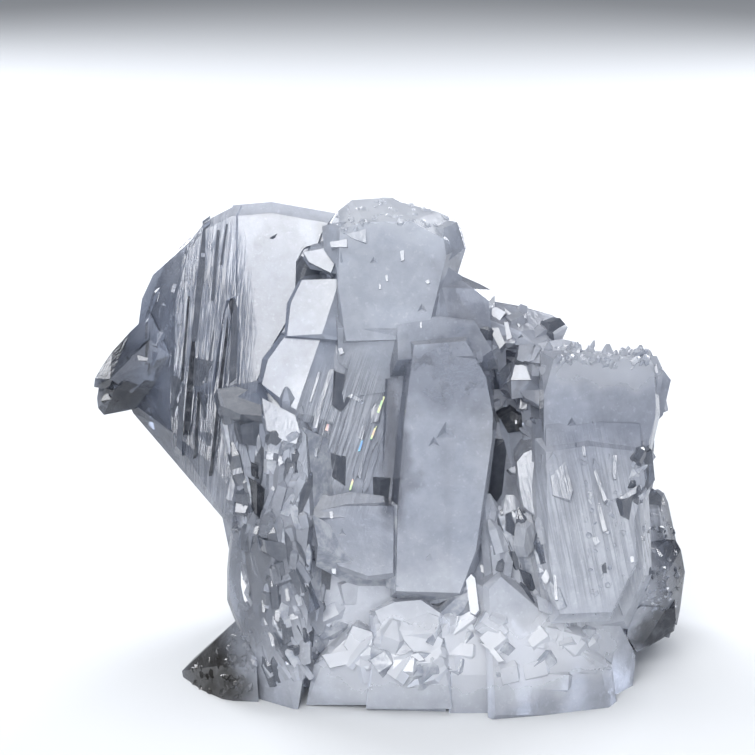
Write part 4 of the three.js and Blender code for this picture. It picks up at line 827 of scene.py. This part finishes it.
def facetPiece(skin, looks, bed, name, face, look, rise, corners, thick=1.4, seat=None):
    # a flat face with its corners on the sight lines
    # "seat" is where it touches the cluster, or else its middle
    middle = [sum(corner[i] for corner in corners) / len(corners) for i in (0, 1)]
    spot, own = surfaceAt(skin, *(seat or middle))
    if spot is None:
        print("no surface under", name)
        return
    normal = faceNormal(*faceTurns.get(face, face))
    middle = spot + normal * rise * mm
    deselect()
    bpy.ops.mesh.primitive_circle_add(vertices=len(corners), radius=mm, fill_type='NGON', location=(0, 0, 0))
    piece = bpy.context.object
    piece.name = name
    for i, corner in enumerate(corners):
        bpy.ops.object.mode_set(mode='EDIT')
        bpy.ops.mesh.select_mode(type='VERT')
        bpy.ops.mesh.select_all(action='DESELECT')
        bpy.ops.object.mode_set(mode='OBJECT')
        piece.data.vertices[i].select = True
        move = sightTo(*corner, middle, normal) - piece.data.vertices[i].co
        bpy.ops.object.mode_set(mode='EDIT')
        bpy.ops.transform.translate(value=move)
        bpy.ops.object.mode_set(mode='OBJECT')
    bpy.ops.object.mode_set(mode='EDIT')
    bpy.ops.mesh.select_all(action='SELECT')
    bpy.ops.mesh.extrude_region_move(TRANSFORM_OT_translate={"value": -normal * thick * mm})
    bpy.ops.transform.resize(value=(1.15, 1.15, 1.15))
    bpy.ops.mesh.select_all(action='SELECT')
    bpy.ops.mesh.normals_make_consistent(inside=False)
    bpy.ops.object.mode_set(mode='OBJECT')
    dress(piece, looks, look)
    for home in list(piece.users_collection):
        home.objects.unlink(piece)
    bed.objects.link(piece)


def scatter(skin, zone, shapes, chance):
    # a list of what goes where: shape, place, rotation and size
    corners, side = zone["corners"], zone.get("side", "front")
    low = [min(c[i] for c in corners) for i in (0, 1)]
    high = [max(c[i] for c in corners) for i in (0, 1)]
    plan = []
    for attempt in range(zone["count"] * 12):
        if len(plan) == zone["count"]:
            break
        across, up = chance.uniform(low[0], high[0]), chance.uniform(low[1], high[1])
        taken = side == "front" and any(inOutline(across, up, facet[3]) for facet in facets.values())
        if taken or not inOutline(across, up, corners):
            continue
        spot, normal = surfaceAt(skin, across, up, side)
        if spot is None:
            continue
        width, length = chance.uniform(*zone["width"]), chance.uniform(*zone["length"])
        lean = zone["lean"] + chance.uniform(-1, 1) * zone["spread"]
        if zone["shape"] == "lath" and not liesFlat(skin, across, up, lean, length, spot, normal, side):
            continue
        glints = chance.random() < zone.get("glint", 0.3)
        flat = flashNormal if glints and side == "front" else normal
        rotation = turned(lean, zone["lift"], normal, flat, side)
        roll = chance.uniform(-8, 8) if glints else chance.uniform(-30, 30)
        rotation = rotation @ Quaternion((0, 0, 1), math.radians(roll))
        spot = spot - normal * zone["sunk"] * width * mm
        if zone["shape"] == "prism":
            spot = spot - rotation @ Vector((0, 0, length / 2 * mm))
        shape = shapes[zone["shape"], chance.choice(zone.get("looks", ("milky",)))]
        plan.append((shape, spot, rotation, (width, width * chance.uniform(0.7, 1), length)))
    return plan


def liesFlat(skin, across, up, lean, length, spot, normal, side):
    # both ends of a long bar lie on the same face as its middle
    half = Vector((math.sin(math.radians(lean)), math.cos(math.radians(lean)))) * length * 0.48
    ends = [surfaceAt(skin, across + way * half.x, up + way * half.y, side)[0] for way in (-1, 1)]
    if None in ends:
        return False
    return max(abs((end - spot).dot(normal)) for end in ends) < 0.3 * mm


def uniteAll(target, bed):
    pick(target)
    joinUp = target.modifiers.new("growth", 'BOOLEAN')
    joinUp.operation = 'UNION'
    joinUp.solver = 'MANIFOLD'
    joinUp.operand_type = 'COLLECTION'
    joinUp.collection = bed
    bpy.ops.object.modifier_apply(modifier=joinUp.name)
    for item in list(bed.objects):
        bpy.data.objects.remove(item)
    bpy.data.collections.remove(bed)


def newBed(name):
    bed = bpy.data.collections.new(name)
    scene.collection.children.link(bed)
    return bed


def addFacets(target, looks, pieces):
    bed = newBed("facets")
    skin = skinOf(target)
    for name, facet in pieces.items():
        facetPiece(skin, looks, bed, name, *facet)
    uniteAll(target, bed)


def addGrowth(target, looks):
    chance = random.Random(11)
    shapes = {}
    for kind, make in (("prism", prismShape), ("lath", lathShape), ("chip", chipShape)):
        for look in ("milky", "pale", "clear"):
            shapes[kind, look] = make()
            dress(shapes[kind, look], looks, look)
    bed = newBed("growth")
    skin = skinOf(target)
    for name, zone in growth.items():
        for what in scatter(skin, zone, shapes, chance):
            put(*what, bed)
    uniteAll(target, bed)
    for shape in shapes.values():
        bpy.data.objects.remove(shape)


def flatBase(target, looks):
    # cuts off what the growth pushed through the flat foot
    bpy.ops.mesh.primitive_cube_add(size=0.2, location=(0, 0, 0.01 * mm - 0.1))
    block = bpy.context.object
    dress(block, looks, "milky")
    pick(target)
    cut = target.modifiers.new("foot", 'BOOLEAN')
    cut.operation = 'DIFFERENCE'
    cut.solver = 'MANIFOLD'
    cut.object = block
    bpy.ops.object.modifier_apply(modifier=cut.name)
    bpy.data.objects.remove(block)


cluster = clusterCopy()
print("cluster faces", len(cluster.data.polygons))
looks = {"milky": quartzMaterial(), "pale": paleMaterial(),
         "clear": clearMaterial("clearQuartz", "#8F96A5", 0.7),
         # painted shade: a dark look on grooves, slits, holes and unlit stripes
         "paintedShade": clearMaterial("paintedShadeQuartz", "#565A65", 0.72), "rainbow": rainbowMaterial()}
dress(cluster, looks, "milky")
addFacets(cluster, looks, wedges)
addGrowth(cluster, looks)
addFacets(cluster, looks, facets)
flatBase(cluster, looks)
print("materials", [mat.name if mat else None for mat in cluster.data.materials])
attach(cluster, "root")
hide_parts("faden_quartz_cluster")

# studio
deselect()
bpy.ops.mesh.primitive_circle_add(vertices=64, radius=6, fill_type='NGON', location=(0, 0, 0))
floor = bpy.context.object
floor.name = "floor"
floor.data.materials.append(studioMaterial())

lamps = {
    "keyBox": {"from": (-0.109, -0.407, 0.30), "size": 0.26, "power": 2.1, "colour": "#FFFFFF"},
    "fillBox": {"from": (0.5, -0.35, 0.3), "size": 0.4, "power": 0.6, "colour": "#EEF3FF"},
    "frontCard": {"from": (0.08, -0.5, 0.03), "size": 0.35, "power": 0.7, "colour": "#F4F7FF"},
    "backLeft": {"from": (-0.34, 0.4, 0.3), "size": 0.34, "power": 2.8, "colour": "#F8FAFF"},
    "backRight": {"from": (0.36, 0.38, 0.26), "size": 0.34, "power": 2.8, "colour": "#F8FAFF"},
    "topBox": {"from": (-0.05, 0.05, 0.6), "size": 0.5, "power": 2.0, "colour": "#FFFFFF"},
}
for name, lamp in lamps.items():
    place = Vector(lamp["from"])
    look = (Vector((0, 0, 0.025)) - place).to_track_quat('-Z', 'Y')
    bpy.ops.object.light_add(type='AREA', location=place, rotation=look.to_euler())
    light = bpy.context.object
    light.name = name
    light.data.shape = 'SQUARE'
    light.data.size = lamp["size"]
    light.data.energy = lamp["power"]
    light.data.color = srgb(lamp["colour"])[:3]
    light.visible_camera = False

world = bpy.data.worlds.new("studio")
world.use_nodes = True
world.node_tree.nodes["Background"].inputs["Color"].default_value = srgb("#9A9EA6")
world.node_tree.nodes["Background"].inputs["Strength"].default_value = 0.6
scene.world = world
scene.view_settings.view_transform = 'Standard'
print("studio ready")
